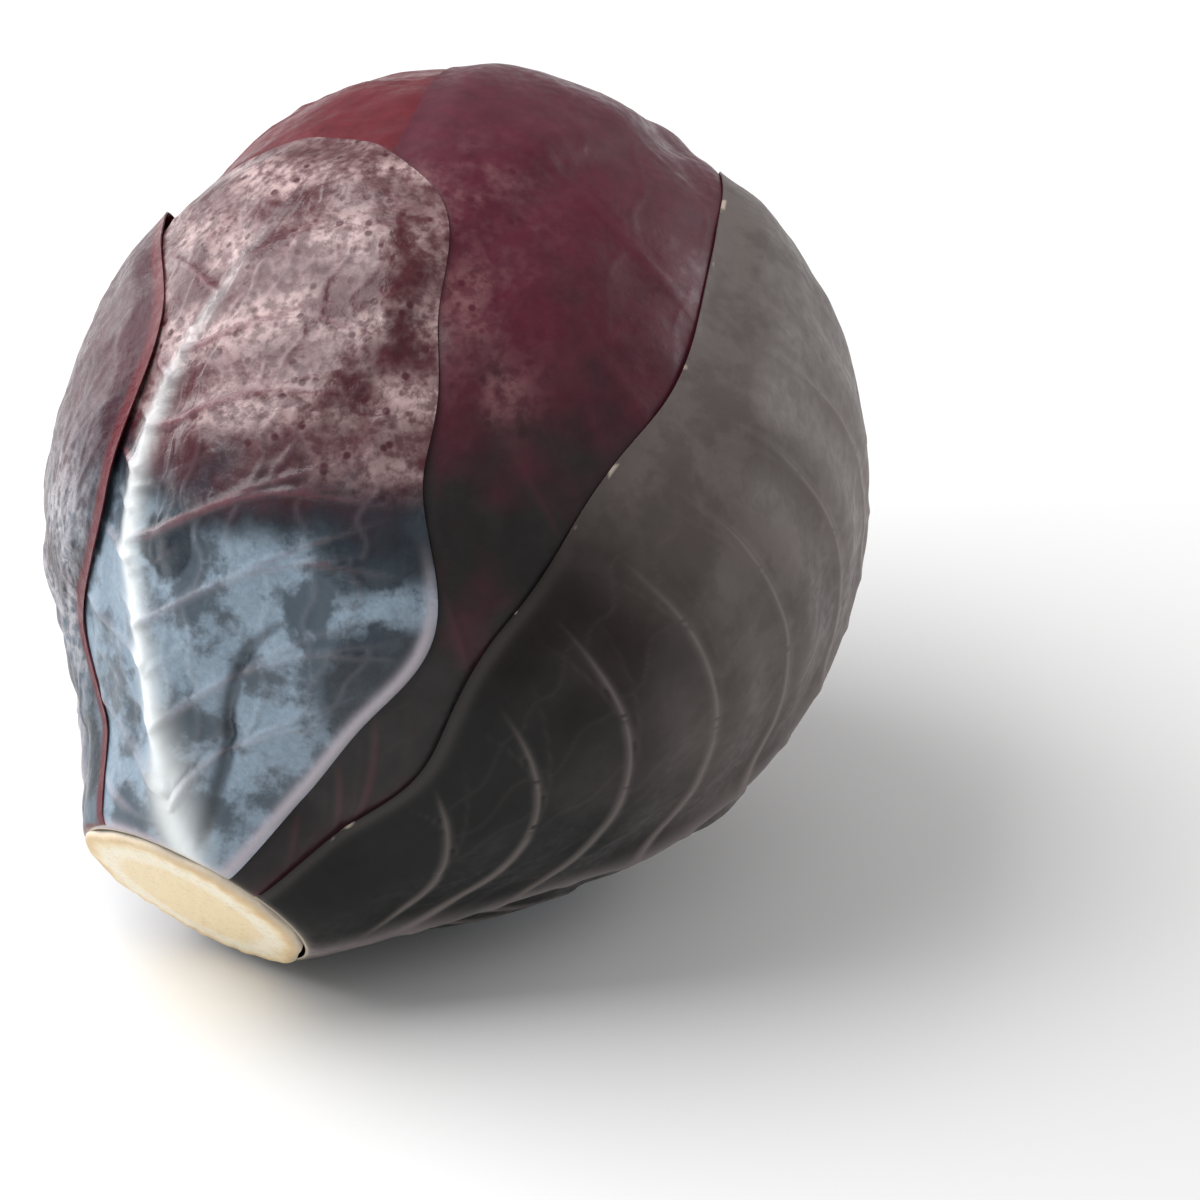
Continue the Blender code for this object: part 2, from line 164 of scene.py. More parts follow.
@dataclass(frozen=True)
class HeadShape:
    """The round, packed heart, and how the head has grown and lies. Lengths in metres, angles in degrees."""

    body_radius: float = 0.0728
    crown_rise: float = 0.0030
    neck_rise: float = 0.0340
    neck_spread: float = 19.0
    swell: float = 0.0006
    swell_turns: tuple[float, float] = (0.6, 2.1)
    hollow: float = 0.0018
    hollow_azimuth: float = -112.0
    shoulder: float = 0.0052
    shoulder_angle: float = 139.5
    shoulder_azimuth: float = -72.1
    shoulder_power: int = 6
    tuck: float = 0.0048
    tuck_angle: float = 30.0
    tuck_azimuth: float = -110.0
    tuck_power: int = 14
    stem_face: float = 0.0970
    stem_shift: float = 0.0055
    stem_radius: float = 0.0235
    stem_taper: float = 0.22
    stem_depth: float = 0.055
    base_angle: float = 14.8
    base_wrap: float = 60.0
    lean: float = 54.6
    lean_towards: float = 55.0
    spin: float = -149.7
    spot_depth: float = 0.0732
    spot_ease: float = 0.0015
    seat_angle: float = 25.0
    seat_gap: float = 0.0016
    seat_squeeze: float = 0.5

    def turn(self) -> Matrix:
        """Turns the head's frame into the world's.

        Returns:
            The rotation.
        """
        return (
            Matrix.Rotation(math.radians(self.lean_towards), 4, "Z")
            @ Matrix.Rotation(math.radians(self.lean), 4, "Y")
            @ Matrix.Rotation(math.radians(self.spin), 4, "Z")
        )

    def down(self) -> Array:
        """The world's down, in the head's frame."""
        return -np.array(self.turn())[2, :3]

    def radius(self, way: Array) -> Array:
        """Distance from the middle to the heart's surface, pressed flat where the head rests.

        Args:
            way: Directions.

        Returns:
            Distances in metres.
        """
        from_stem = np.degrees(np.arccos(np.clip(-way[..., 2], -1.0, 1.0)))
        turn = np.arctan2(way[..., 1], way[..., 0])
        radius = self.body_radius + self.neck_rise * np.exp(-from_stem / self.neck_spread)
        radius = radius + self.crown_rise * np.maximum(way[..., 2], 0.0) ** 2
        uneven = np.cos(2 * turn + self.swell_turns[0]) + np.cos(3 * turn + self.swell_turns[1])
        radius = radius + self.swell * np.sin(np.radians(from_stem)) ** 2 * uneven
        radius = radius - self.hollow * np.maximum(way @ direction(90.0, self.hollow_azimuth), 0.0) ** 2
        shoulder = np.maximum(way @ direction(self.shoulder_angle, self.shoulder_azimuth), 0.0)
        radius = radius + self.shoulder * shoulder**self.shoulder_power
        tuck = np.maximum(way @ direction(self.tuck_angle, self.tuck_azimuth), 0.0)
        radius = radius - self.tuck * tuck**self.tuck_power
        pressed = np.minimum(self.spot_depth / np.maximum(way @ self.down(), 1e-3), 1.0)
        return -self.spot_ease * np.logaddexp(-radius / self.spot_ease, -pressed / self.spot_ease)

    def seated(self, ways: Array, distances: Array) -> Array:
        """Points of a leaf in the head's frame, where the leaf bases close in on the stem.

        Args:
            ways: Directions from the head's middle.
            distances: How far out the leaf is in each of them.

        Returns:
            The points.
        """
        points = ways * distances[..., None]
        from_stem = np.degrees(np.arccos(np.clip(-ways[..., 2], -1.0, 1.0)))
        pull = smoothstep((self.seat_angle - from_stem) / (self.seat_angle - self.base_angle))
        out = np.hypot(points[..., 0], points[..., 1])
        gap = out - (self.stem_radius - self.stem_taper * (points[..., 2] + self.stem_face))
        height = points[..., 2] + pull * (self.seat_gap - self.stem_face - points[..., 2])
        closer = self.stem_radius - self.stem_taper * (height + self.stem_face)
        closer = closer + gap * (1.0 - self.seat_squeeze * pull)
        share = np.where(pull > 0.0, closer / np.maximum(out, 1e-6), 1.0)
        return self.grown(np.stack([points[..., 0] * share, points[..., 1] * share, height], axis=-1))

    def grown(self, points: Array) -> Array:
        """The points moved to the side, the more the nearer they are to the cut face.

        Args:
            points: Points in the head's frame, in metres.

        Returns:
            The moved points.
        """
        moved = np.array(points, dtype=float)
        moved[..., 1] -= self.stem_shift * (np.maximum(-moved[..., 2], 0.0) / self.stem_face) ** 2
        return moved


@dataclass(frozen=True)
class Placement:
    """Puts points of the head's frame in the world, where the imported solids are."""

    shape: HeadShape
    middle: Vector

    @classmethod
    def on_frame(cls, shape: HeadShape, stem: bpy.types.Object) -> Placement:
        """Finds the head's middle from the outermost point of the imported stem's cut face.

        Args:
            shape: The head's shape.
            stem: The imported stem.

        Returns:
            The placement.
        """
        turn = shape.turn()
        outward = turn @ Vector((0.0, 0.0, -1.0))
        tip = max((vert.co for vert in stem.data.vertices), key=lambda co: co @ outward)
        depth = max((turn.transposed() @ vert.co).z for vert in stem.data.vertices)
        length = depth - (turn.transposed() @ tip).z
        at_tip = Vector(shape.grown([(0.0, 0.0, shape.stem_depth - shape.stem_face - length)])[0])
        return cls(shape, tip - turn @ at_tip)

    def world(self, points: Array) -> Array:
        """World positions of points in the head's frame."""
        turn = np.array(self.shape.turn())[:3, :3]
        return points @ turn.T + np.array(self.middle)

    def vectors(self, ways: Array) -> Array:
        """World directions of directions in the head's frame."""
        return ways @ np.array(self.shape.turn())[:3, :3].T


@dataclass(frozen=True)
class BladeSizes:
    """How a leaf blade is built up and how it lies on others, in metres and degrees."""

    blade: float = 0.0013
    clearance: float = 0.00085
    sunk: float = 0.00060
    edge: float = 0.00032
    taper: float = 0.010
    drape: float = 0.011
    overhang: float = 0.001
    tent: float = 0.009
    loose: float = 0.009
    lift: float = 0.0005
    held_down: float = 18.0
    most_curl: float = 0.00035
    curl_length: float = 0.040
    midrib_height: float = 0.0030
    midrib_width: float = 0.0055
    midrib_base_share: float = 0.4
    inner_midrib_share: float = 0.4
    margin_waves: int = 9
    margin_wave: float = 0.7
    ripple: float = 0.00030
    ripple_length: float = 0.017
    pleat: float = 0.00055
    fan_length: float = 0.05
    quilt: float = 0.00035
    bead: float = 0.00055
    bead_inset: float = 1.4 * MM
    bead_width: float = 1.0 * MM
    lip_inset: float = 1.2 * MM
    lip_width: float = 1.3 * MM
    lip_share: float = 0.2
    crest_width: float = 2.7 * MM
    free_inset: float = 1.5 * MM
    free_ease: float = 5.0 * MM
    flat_round_spot: float = 22.0


REACH_BEARINGS = np.arange(-150.0, 151.0, 30.0)


@dataclass(frozen=True)
class Venation:
    """How a leaf's side veins run, and how finely its blade is drawn. Angles in degrees."""

    side_veins: int
    lead: float
    lead_gain: float
    sweep: float
    rows: int
    half_columns: int
    fan_bearing: float = 102.0
    fan_share: float = 0.32
    bend: float = 0.45
    relief: float = 1.0
    uneven: float = 1.0
    forks: float = 1.0
    sway: float = 0.008
    width: float = 1.0
    vein_end: float = 0.12
    pebble: float = 5.5 * MM
    crest: float = 0.0008
    puff: float = 1.0
    creases: tuple[tuple[tuple[float, float], ...], ...] = ()
    rib_path: tuple[tuple[float, float], ...] = ((0.0, 0.0), (1.0, 0.0))


@dataclass(frozen=True)
class Spot:
    """A soft spot on a leaf: its share of the way to the tip, degrees to the right and radius in metres."""

    along: float
    side: float
    radius: float


@dataclass(frozen=True)
class LeafFinish:
    """Colours and gloss of one leaf, from its base at the stem to its tip."""

    name: str
    base: Colour
    tip: Colour
    vein: Colour
    bloom: Colour
    bloom_at_base: float
    bloom_at_tip: float
    roughness: float
    peel: float = 0.30
    coat: float = 0.20
    veined: float = 0.7
    vein_at_tip: float = 0.35
    edge: float = 0.3
    speckle: float = 0.10
    glint: float = 0.0
    specular: float = 0.5
    rib: Colour = PALE_VIOLET
    bloom_low: float = 0.16
    bloom_high: float = 0.50
    haze: float = 0.15
    turn_low: float = 0.12
    turn_high: float = 0.62
    wander: float = 0.8
    # Strength of the painted shade beside the main side veins.
    groove_shade: float = 0.0
    ridge: float = 0.0
    dim: float = 0.22
    ragged: float = 1.1
    soft: float = 0.13
    # Colour of the pale flecks: a painted highlight.
    painted_highlight: Colour = (0.460, 0.330, 0.320, 1.0)
    margin: Colour = (0.110, 0.008, 0.015, 1.0)
    margin_width: float = 0.0
    # Spots bare of bloom; on the right leaf the bare spot is painted shade.
    rubbed_and_shaded: tuple[Spot, ...] = ()
    # Where the painted highlight flecks lie.
    highlight_area: tuple[Spot, ...] = ()

    def material(self) -> bpy.types.Material:
        """Waxy leaf: pigment that shifts from base to tip, pale veins, a patchy bloom and a pebbled gloss,
        with painted highlights and painted shade laid into the colour.

        Returns:
            The material.
        """
        made, graph, shader, at = new_material(self.name)
        along, main, inset = (graph.attribute(name) for name in ("along", "main", "inset"))
        broad = graph.noise(30 * MM, at, 3.0, 0.55)
        grain = graph.between(graph.noise(1.3 * MM, at, 3.0, 0.7), 0.30, 0.70)
        pits = graph.between(graph.noise(2.4 * MM, at, 4.0, 0.6), 0.36, 0.62)
        dots = graph.between(graph.dots(3.8 * MM, at), 0.12, 0.28)
        drift = graph.math("ADD", along, graph.times(graph.math("SUBTRACT", broad, 0.5), self.wander))

        bloomed = self.bloomed(graph, at, drift, grain)
        flank = graph.times(graph.between(main, 0.10, 0.28), graph.between(main, 0.60, 0.36))
        ribbed = graph.math("POWER", graph.attribute("rib"), 0.7)
        glint_spots = graph.between(graph.noise(8 * MM, at, 2.0), 0.60, 0.66)
        layers = [
            (bloomed, self.bloom),
            # Pale flecks: painted highlight, broken up by pits and dots.
            (self.highlight_flecks(graph, at, pits, dots), self.painted_highlight),
            # Painted shade: a dark band in the margin colour on the flanks of the main side veins, where the
            # raised ribs shade the blade.
            (graph.times(flank, graph.between(along, 0.30, 0.46), self.groove_shade), self.margin),
            (self.paled(graph, along, main), self.vein),
            # Painted shade: the fold is darkened to the bare base colour.
            (graph.times(graph.attribute("crease"), 0.8), self.base),
            # The midrib's crest in the rib colour; the front leaf's near white is partly the midrib's own
            # pale colour and partly painted highlight.
            (graph.times(ribbed, graph.between(along, 0.95, 0.35)), self.rib),
        ]
        # A dark red band along the margin: partly the margin's own tint, partly painted shade of the gap at
        # its edge.
        if self.margin_width:
            band = graph.between(inset, self.margin_width, 0.5 * self.margin_width)
            layers.append((graph.times(band, 0.9), self.margin))
        # Painted highlight: pale glints in spots on the margin's rim, where the edge catches the light.
        layers.append((graph.times(glint_spots, graph.between(inset, 0.9, 0.3), self.glint), CUT_LEAF))
        layers.append((graph.attribute("cut"), CUT_LEAF))
        colour = self.pigment(graph, at, drift)
        for share, over in layers:
            colour = graph.blend(share, colour, over)
        graph.put(shader.inputs["Base Color"], colour)

        worn = graph.times(graph.between(graph.noise(2.6 * MM, at, 3.0, 0.6), 0.35, 0.65), 0.16)
        dulled = graph.math("ADD", worn, graph.times(bloomed, 0.30))
        graph.put(shader.inputs["Roughness"], graph.math("ADD", dulled, self.roughness - 0.06))
        shader.inputs["Coat Weight"].default_value = self.coat
        shader.inputs["Coat Roughness"].default_value = 0.16
        shader.inputs["IOR"].default_value = 1.45
        shader.inputs["Specular IOR Level"].default_value = self.specular

        dents = graph.math("ADD", graph.times(pits, 0.30), graph.times(dots, 0.25))
        relief = graph.times(graph.noise(2.8 * MM, at, 2.0, 0.5), 0.5)
        relief = graph.math("ADD", relief, graph.times(dents, graph.attribute("highlight_area")))
        bump(graph, shader, graph.math("ADD", relief, graph.times(grain, 0.06)), 1.0 * MM, self.peel)
        return made

    def pigment(self, graph: Graph, at: object, drift: object) -> bpy.types.NodeSocket:
        """The leaf's colour, from base to tip, a little mottled; a near-black base, as on the crown, inner
        and right leaves, is painted shade.

        Args:
            graph: The material's graph.
            at: The Object coordinates.
            drift: Share of the way to the tip, uneven.

        Returns:
            A colour.
        """
        colour = graph.blend(graph.between(drift, self.turn_low, self.turn_high), self.base, self.tip)
        shaded = graph.node("ShaderNodeVectorMath", operation="SCALE")
        graph.put(shaded.inputs[0], colour)
        graph.put(shaded.inputs["Scale"], graph.line(graph.noise(5 * MM, at, 4.0, 0.6), 0.55, 0.9))
        return shaded.outputs[0]

    def paled(self, graph: Graph, along: object, main: object) -> bpy.types.NodeSocket:
        """How pale the veins are, and the margin's lip, whose pale band is partly the edge's own paler colour
        and partly a painted highlight on its roll.

        Args:
            graph: The material's graph.
            along: Share of the way to the tip.
            main: 1 on the main side veins.

        Returns:
            A share.
        """
        strong = graph.line(graph.between(along, 0.9, 0.05), self.vein_at_tip, 1.0 - self.vein_at_tip)
        veined = graph.times(graph.math("POWER", graph.attribute("vein"), 1.5), strong, self.veined)
        ridge = graph.times(graph.between(main, 0.26, 0.60), self.ridge)
        # Pale lip on the rolled margin: partly its own paler edge, partly painted highlight.
        lip = graph.times(graph.attribute("lip"), self.edge)
        return graph.math("MAXIMUM", graph.math("MAXIMUM", veined, ridge), lip)

    def bloomed(self, graph: Graph, at: object, drift: object, grain: object) -> bpy.types.NodeSocket:
        """How thick the bloom lies: in patches, kept off the folds, whose bare dark blade is painted shade,
        and off the rubbed_and_shaded spots, which are bare of bloom and on the right leaf are painted shade.

        Args:
            graph: The material's graph.
            at: The Object coordinates.
            drift: Share of the way to the tip, uneven.
            grain: Fine noise.

        Returns:
            A share.
        """
        patches = graph.between(graph.noise(14 * MM, at, 5.0, 0.62), 0.42, 0.55)
        patchy = graph.line(graph.times(patches, graph.line(grain, 0.72, 0.28)), self.haze, 1.0 - self.haze)
        faded = graph.between(drift, self.bloom_low, self.bloom_high)
        fading = graph.line(faded, self.bloom_at_base, self.bloom_at_tip - self.bloom_at_base)
        bloomed = graph.math("MULTIPLY", patchy, fading, clamp=True)
        ragged = graph.math("SUBTRACT", graph.noise(7 * MM, at, 4.0, 0.6), 0.5)
        # Bare spots: on the right leaf, taking off the painted sheen here paints shade.
        rubbed_and_shaded = graph.math("ADD", graph.attribute("rubbed_and_shaded"), graph.times(ragged, self.ragged))
        rubbed_and_shaded = graph.between(rubbed_and_shaded, 0.47 - self.soft, 0.47 + self.soft)
        # The bloom is kept out of the folds, whose dark colour is painted shade.
        unfolded = graph.math("SUBTRACT", 1.0, graph.attribute("crease"), clamp=True)
        return graph.times(bloomed, unfolded, graph.line(rubbed_and_shaded, 1.0, -0.88))

    def highlight_flecks(self, graph: Graph, at: object, pits: object, dots: object) -> bpy.types.NodeSocket:
        """How strongly the painted highlight shows: pale flecks between its pits and dots, standing for a
        highlight broken up by the bumpy skin.

        Args:
            graph: The material's graph.
            at: The Object coordinates.
            pits: 1 between fine pits.
            dots: 1 between dark dots.

        Returns:
            A share.
        """
        clouds = graph.between(graph.noise(14 * MM, at, 4.0, 0.6), 0.34, 0.60)
        flecks = graph.line(pits, self.dim, 1.0 - self.dim)
        return graph.times(flecks, clouds, graph.attribute("highlight_area"), dots, self.speckle)


@dataclass
class Leaf:
    """One leaf: an outline round a middle on the head, wrapped over the leaves below it."""

    name: str
    slot: Slot
    azimuth: float
    middle: float
    reach_list: tuple[float, ...]
    finish: LeafFinish
    venation: Venation
    shape: HeadShape
    sizes: BladeSizes
    order: int = 0
    corner: float = field(init=False)

    def __post_init__(self) -> None:
        """Works out the outline's knots from the reaches."""
        self.centre = direction(self.middle, self.azimuth)
        self.tipward = direction(self.middle + 90.0, self.azimuth)
        self.rightward = direction(90.0, self.azimuth + 90.0)
        corner_way = direction(self.shape.base_angle, self.azimuth + self.shape.base_wrap)
        corner_reach, corner = self.polar(corner_way)
        self.corner = float(corner)
        self.knots = np.concatenate([[-self.corner], np.radians(REACH_BEARINGS), [self.corner]])
        self.reaches = np.concatenate([[corner_reach], np.radians(self.reach_list), [corner_reach]])

    def polar(self, way: Array) -> tuple[Array, Array]:
        """(angle from the leaf's middle, bearing from its tip) of directions, in radians."""
        span = np.arccos(np.clip(way @ self.centre, -1.0, 1.0))
        return span, np.arctan2(way @ self.rightward, way @ self.tipward)

    def place(self, span: Array, bearing: Array) -> Array:
        """Directions at those angles from the middle and bearings."""
        side = np.cos(bearing)[..., None] * self.tipward + np.sin(bearing)[..., None] * self.rightward
        return np.cos(span)[..., None] * self.centre + np.sin(span)[..., None] * side

    def reach(self, bearing: Array) -> Array:
        """How far the margin is from the middle at those bearings, in radians.

        Args:
            bearing: Bearings at the leaf's middle, in radians.

        Returns:
            Angles in radians.
        """
        bearing = np.asarray(bearing, dtype=float)
        inside = np.clip(bearing, -self.corner, self.corner)
        flank = curve_through(self.knots, self.reaches, inside)
        room = smoothstep((self.corner - np.abs(inside)) / 0.5)
        wave = np.sin(self.sizes.margin_waves * bearing + 2.0 * self.order)
        flank = flank + room * math.radians(self.sizes.margin_wave) * wave
        middle, stop = math.radians(self.middle), math.radians(self.shape.base_angle)
        across, along = math.cos(middle), -math.sin(middle) * np.cos(bearing)
        size = np.maximum(np.hypot(across, along), math.cos(stop))
        base = np.arctan2(along, across) - np.arccos(math.cos(stop) / size)
        return np.where(np.abs(bearing) > self.corner, base, flank)

    def ends(self) -> tuple[float, float]:
        """Where the midrib starts and ends, along its line through the middle, in radians."""
        return -float(self.reach(math.pi)), float(self.reach(0.0))

    def inset(self, way: Array) -> Array:
        """Metres inside the margin, and less than nothing outside it."""
        span, bearing = self.polar(way)
        return self.shape.body_radius * (self.reach(bearing) - span)

    def along(self, way: Array) -> Array:
        """Share of the way from the leaf's base to its tip.

        Args:
            way: Directions.

        Returns:
            0 to 1.
        """
        span, bearing = self.polar(way)
        base, tip = self.ends()
        return np.clip((span * np.cos(bearing) - base) / (tip - base), 0.0, 1.0)

    def rib_side(self, share: Array) -> Array:
        """How far to the right of the middle line the midrib runs at that share of the way, in radians."""
        knots = np.array(self.venation.rib_path)
        return np.radians(curve_through(knots[:, 0], knots[:, 1], share))

    def beside_rib(self, way: Array, share: Array) -> Array:
        """Metres to the right of the midrib.

        Args:
            way: Directions.
            share: Share of the way to the tip.

        Returns:
            Metres, negative on the left.
        """
        span, bearing = self.polar(way)
        side = np.sin(span) * np.sin(bearing) - np.sinc(span / math.pi) * self.rib_side(share)
        return self.shape.body_radius * side

    def crest(self, way: Array) -> Array:
        """1 on the narrow crest of the midrib, fading beside it and towards the tip.

        Args:
            way: Directions.

        Returns:
            0 to 1.
        """
        share = self.along(way)
        width = self.sizes.crest_width * (1.0 - 0.60 * share)
        return np.exp(-((self.beside_rib(way, share) / width) ** 2)) * (1.0 - share) ** 0.7

    def spotted(self, way: Array, spots: tuple[Spot, ...]) -> Array:
        """1 in the middle of any of the spots, fading outwards.

        Args:
            way: Directions.
            spots: The spots.

        Returns:
            0 to 1.
        """
        base, tip = self.ends()
        found = np.zeros(way.shape[:-1])
        for spot in spots:
            x, y = base + spot.along * (tip - base), math.radians(spot.side)
            centre = self.place(np.hypot(x, y), np.arctan2(y, x))
            apart = self.shape.body_radius * np.arccos(np.clip(way @ centre, -1.0, 1.0))
            found = np.maximum(found, np.exp(-((apart / spot.radius) ** 2)))
        return found

    def midrib(self, way: Array, spread: float = 0.0, power: float = 2.4) -> Array:
        """Height of the midrib, from its thick base to its fine tip.

        Args:
            way: Directions.
            spread: How much wider than the rib the form is, in metres.
            power: How flat its top is.

        Returns:
            Heights in metres.
        """
        share = self.along(way)
        across = self.beside_rib(way, share)
        sizes = self.sizes
        start = sizes.midrib_base_share + (1.0 - sizes.midrib_base_share) * smoothstep(share / 0.15)
        full = sizes.midrib_height * (sizes.inner_midrib_share if self.slot is Slot.INNER_LEAF else 1.0)
        width = sizes.midrib_width * (1.0 - 0.6 * share) + spread
        return full * start * (1.0 - share) ** 1.5 * np.exp(-(np.abs(across / width) ** power))

    def ways_at(self, v: Array, u: Array) -> Array:
        """Directions on the leaf, where lines of one v follow the side veins.

        Args:
            v: 0 at the leaf's base to 1 at its tip, along the midrib.
            u: -1 at the left margin, over 0 at the midrib, to 1 at the right margin.

        Returns:
            Unit vectors in the head's frame.
        """
        v, u = np.broadcast_arrays(np.asarray(v, dtype=float), np.asarray(u, dtype=float))
        v = v + self.venation.sway * np.sin(7.0 * u + self.order) * np.sin(math.pi * v)
        sizes = self.sizes
        base, tip = self.ends()
        fan_share = self.venation.fan_share
        along = np.maximum(0.0, (v - fan_share) / (1.0 - fan_share))
        opening = 1.0 - np.minimum(1.0, v / fan_share)
        started = sizes.fan_length * (1.0 - opening) + (1.0 - sizes.fan_length) * along
        start, aside = base + (tip - base) * started, self.rib_side(started) * (1.0 - opening**4)
        fan = math.radians(self.venation.fan_bearing)
        bearing = fan * (1.0 - along) ** self.venation.sweep + (self.corner - fan) * opening
        middling = np.sin(math.pi * np.minimum(1.0, along * 1.3))
        lead = np.radians(self.venation.lead + self.venation.lead_gain * middling)
        lead = lead + (0.5 * math.pi - lead) * opening**2
        side, share = np.sign(u), np.abs(u)
        reach = self.reach(side * bearing)
        end_x, end_y = reach * np.cos(bearing), reach * np.sin(bearing)
        bend = self.venation.bend * np.hypot(end_x - start, end_y) * (1.0 - 0.6 * along)
        control_x, control_y = start + bend * np.cos(lead), bend * np.sin(lead)
        x = (1 - share) ** 2 * start + 2 * share * (1 - share) * control_x + share**2 * end_x
        y = side * (2 * share * (1 - share) * control_y + share**2 * end_y) + (1 - share) ** 3 * aside
        return self.place(np.hypot(x, y), np.arctan2(y, x))


@dataclass
class Layers:
    """All the leaves, innermost first, and how their heights add up."""

    leaves: list[Leaf]
    shape: HeadShape
    sizes: BladeSizes

    def fields(self, way: Array) -> tuple[list[Array], list[Array]]:
        """(inset of each leaf in metres, how loose each leaf is there from 0 to 1)."""
        insets = [leaf.inset(way) for leaf in self.leaves]
        return insets, [1.0 - smoothstep(inset / self.sizes.loose) for inset in insets]

    def uncovered(self, order: int, loosenings: list[Array]) -> Array:
        """1 where no leaf lies on this one, 0 well under one.

        Args:
            order: The leaf's place in the stack.
            loosenings: From fields.

        Returns:
            0 to 1.
        """
        free = np.ones_like(loosenings[0])
        for loosening in loosenings[order + 1 :]:
            free = free * loosening
        return free

    def below(self, order: int, way: Array, insets: list[Array], loosenings: list[Array]) -> Array:
        """Distance from the middle to the top of what lies under a leaf.

        Args:
            order: The leaf's place in the stack.
            way: Directions.
            insets: From fields.
            loosenings: From fields.

        Returns:
            Distances in metres.
        """
        sizes = self.sizes
        height = self.shape.radius(way)
        for leaf in self.leaves[:order]:
            lift = self.held(way) * sizes.lift
            lift = lift * loosenings[leaf.order] * self.uncovered(leaf.order, loosenings)
            step = sizes.blade + sizes.clearance + leaf.midrib(way, sizes.tent, 4.0) + lift
            height = height + step * smoothstep((insets[leaf.order] + sizes.overhang) / sizes.drape + 1.0)
        return height

    def from_stem(self, way: Array) -> Array:
        """Degrees from the cut stem."""
        return np.degrees(np.arccos(np.clip(-way[..., 2], -1.0, 1.0)))

    def held(self, way: Array) -> Array:
        """0 at the stem, where leaf bases are held down, and 1 away from it."""
        return smoothstep((self.from_stem(way) - self.shape.base_angle) / self.sizes.held_down - 0.3)

    def open_air(self, order: int, insets: list[Array]) -> Array:
        """1 where the leaf's face is free to stand out, 0 as soon as another leaf covers it.

        Args:
            order: The leaf's place in the stack.
            insets: From fields.

        Returns:
            0 to 1.
        """
        free = np.ones_like(insets[0])
        for inset in insets[order + 1 :]:
            free = free * smoothstep((self.sizes.free_inset - inset) / self.sizes.free_ease)
        return free

    def highlight_area(self, leaf: Leaf, way: Array, along: Array, phase: Array) -> Array:
        """1 where the painted highlight lies in flecks: on the leaf's spots, or in bands over its upper half.

        Args:
            leaf: The leaf.
            way: Directions.
            along: Share of the way to the tip.
            phase: Place between two side veins.

        Returns:
            0 to 1.
        """
        if leaf.finish.highlight_area:
            return leaf.spotted(way, leaf.finish.highlight_area)
        bands = 0.68 + 0.32 * np.cos(2.0 * math.pi * (phase + 0.30))
        return smoothstep((along - 0.44) / 0.14) * bands

    def faces(self, leaf: Leaf, way: Array, v: Array, u: Array) -> dict[str, Array]:
        """Heights of both faces of a leaf, and what its ribs and its finish need to know.

        Args:
            leaf: The leaf.
            way: Directions.
            v: The leaf's own coordinate along its midrib at each of them.
            u: The leaf's own coordinate across at each of them.

        Returns:
            Arrays by name: inner and outer distances, the inset in millimetres, and the shares open, along,
            lip, rib, rubbed_and_shaded, highlight_area and cut.
        """
        sizes = self.sizes
        insets, loosenings = self.fields(way)
        inset = insets[leaf.order]
        spread = way * self.shape.body_radius
        waves = Ripples(CURL_SEED + leaf.order, sizes.curl_length).at(spread)
        curl = sizes.most_curl * (0.5 + 0.5 * np.clip(waves * 0.8, -1.0, 1.0)) ** 3
        curl = curl * loosenings[leaf.order] * self.uncovered(leaf.order, loosenings) * self.held(way)
        open_air = self.open_air(leaf.order, insets)
        from_spot = np.degrees(np.arccos(np.clip(way @ self.shape.down(), -1.0, 1.0)))
        raised = open_air * smoothstep(from_spot / sizes.flat_round_spot - 0.5)
        thickness = sizes.edge + (sizes.blade + sizes.sunk - sizes.edge) * smoothstep(inset / sizes.taper)
        inner = self.below(leaf.order, way, insets, loosenings) + sizes.clearance - sizes.sunk + curl
        rib = leaf.midrib(way) * smoothstep(inset / sizes.taper)
        along = leaf.along(way)
        _, bearing = leaf.polar(way)
        pleats = np.exp(-along / 0.22) * np.sin(17.0 * bearing + 5.0 * np.sin(2.0 * bearing) + leaf.order)
        phase = (v - VeinPlan.first) * leaf.venation.side_veins / VeinPlan.span
        puffed = (0.5 - 0.5 * np.cos(2.0 * math.pi * phase)) * np.sin(math.pi * np.abs(u)) ** 0.7
        ripples = Ripples(RIPPLE_SEED + leaf.order, sizes.ripple_length).at(spread)
        uneven = sizes.ripple * ripples + sizes.pleat * pleats
        uneven = leaf.venation.uneven * uneven
        puffed = puffed * smoothstep(along / 0.3) * smoothstep((1.0 - v) / 0.3)
        uneven = uneven + sizes.quilt * leaf.venation.puff * puffed
        crest = leaf.crest(way)
        uneven = uneven + leaf.venation.crest * crest
        bead = sizes.bead * leaf.finish.edge * np.exp(-(((inset - sizes.bead_inset) / sizes.bead_width) ** 2))
        bead = bead * smoothstep((0.42 - along) / sizes.lip_share)
        lip = np.exp(-(((inset - sizes.lip_inset) / sizes.lip_width) ** 2))
        outer = inner + thickness + rib + raised * uneven * smoothstep(inset / (2.0 * sizes.taper))
        outer = outer + raised * bead * (leaf.slot is Slot.OUTER_LEAF)
        return {
            "inner": inner,
            "outer": outer,
            "open": raised * smoothstep(inset / (0.8 * sizes.taper)),
            "along": along,
            "lip": smoothstep((0.45 - along) / sizes.lip_share) * lip,
            "rib": crest,
            "inset": inset / MM,
            "rubbed_and_shaded": leaf.spotted(way, leaf.finish.rubbed_and_shaded),
            "highlight_area": self.highlight_area(leaf, way, along, phase),
            "cut": np.exp(-np.maximum(0.0, self.from_stem(way) - self.shape.base_angle) / 0.30),
        }


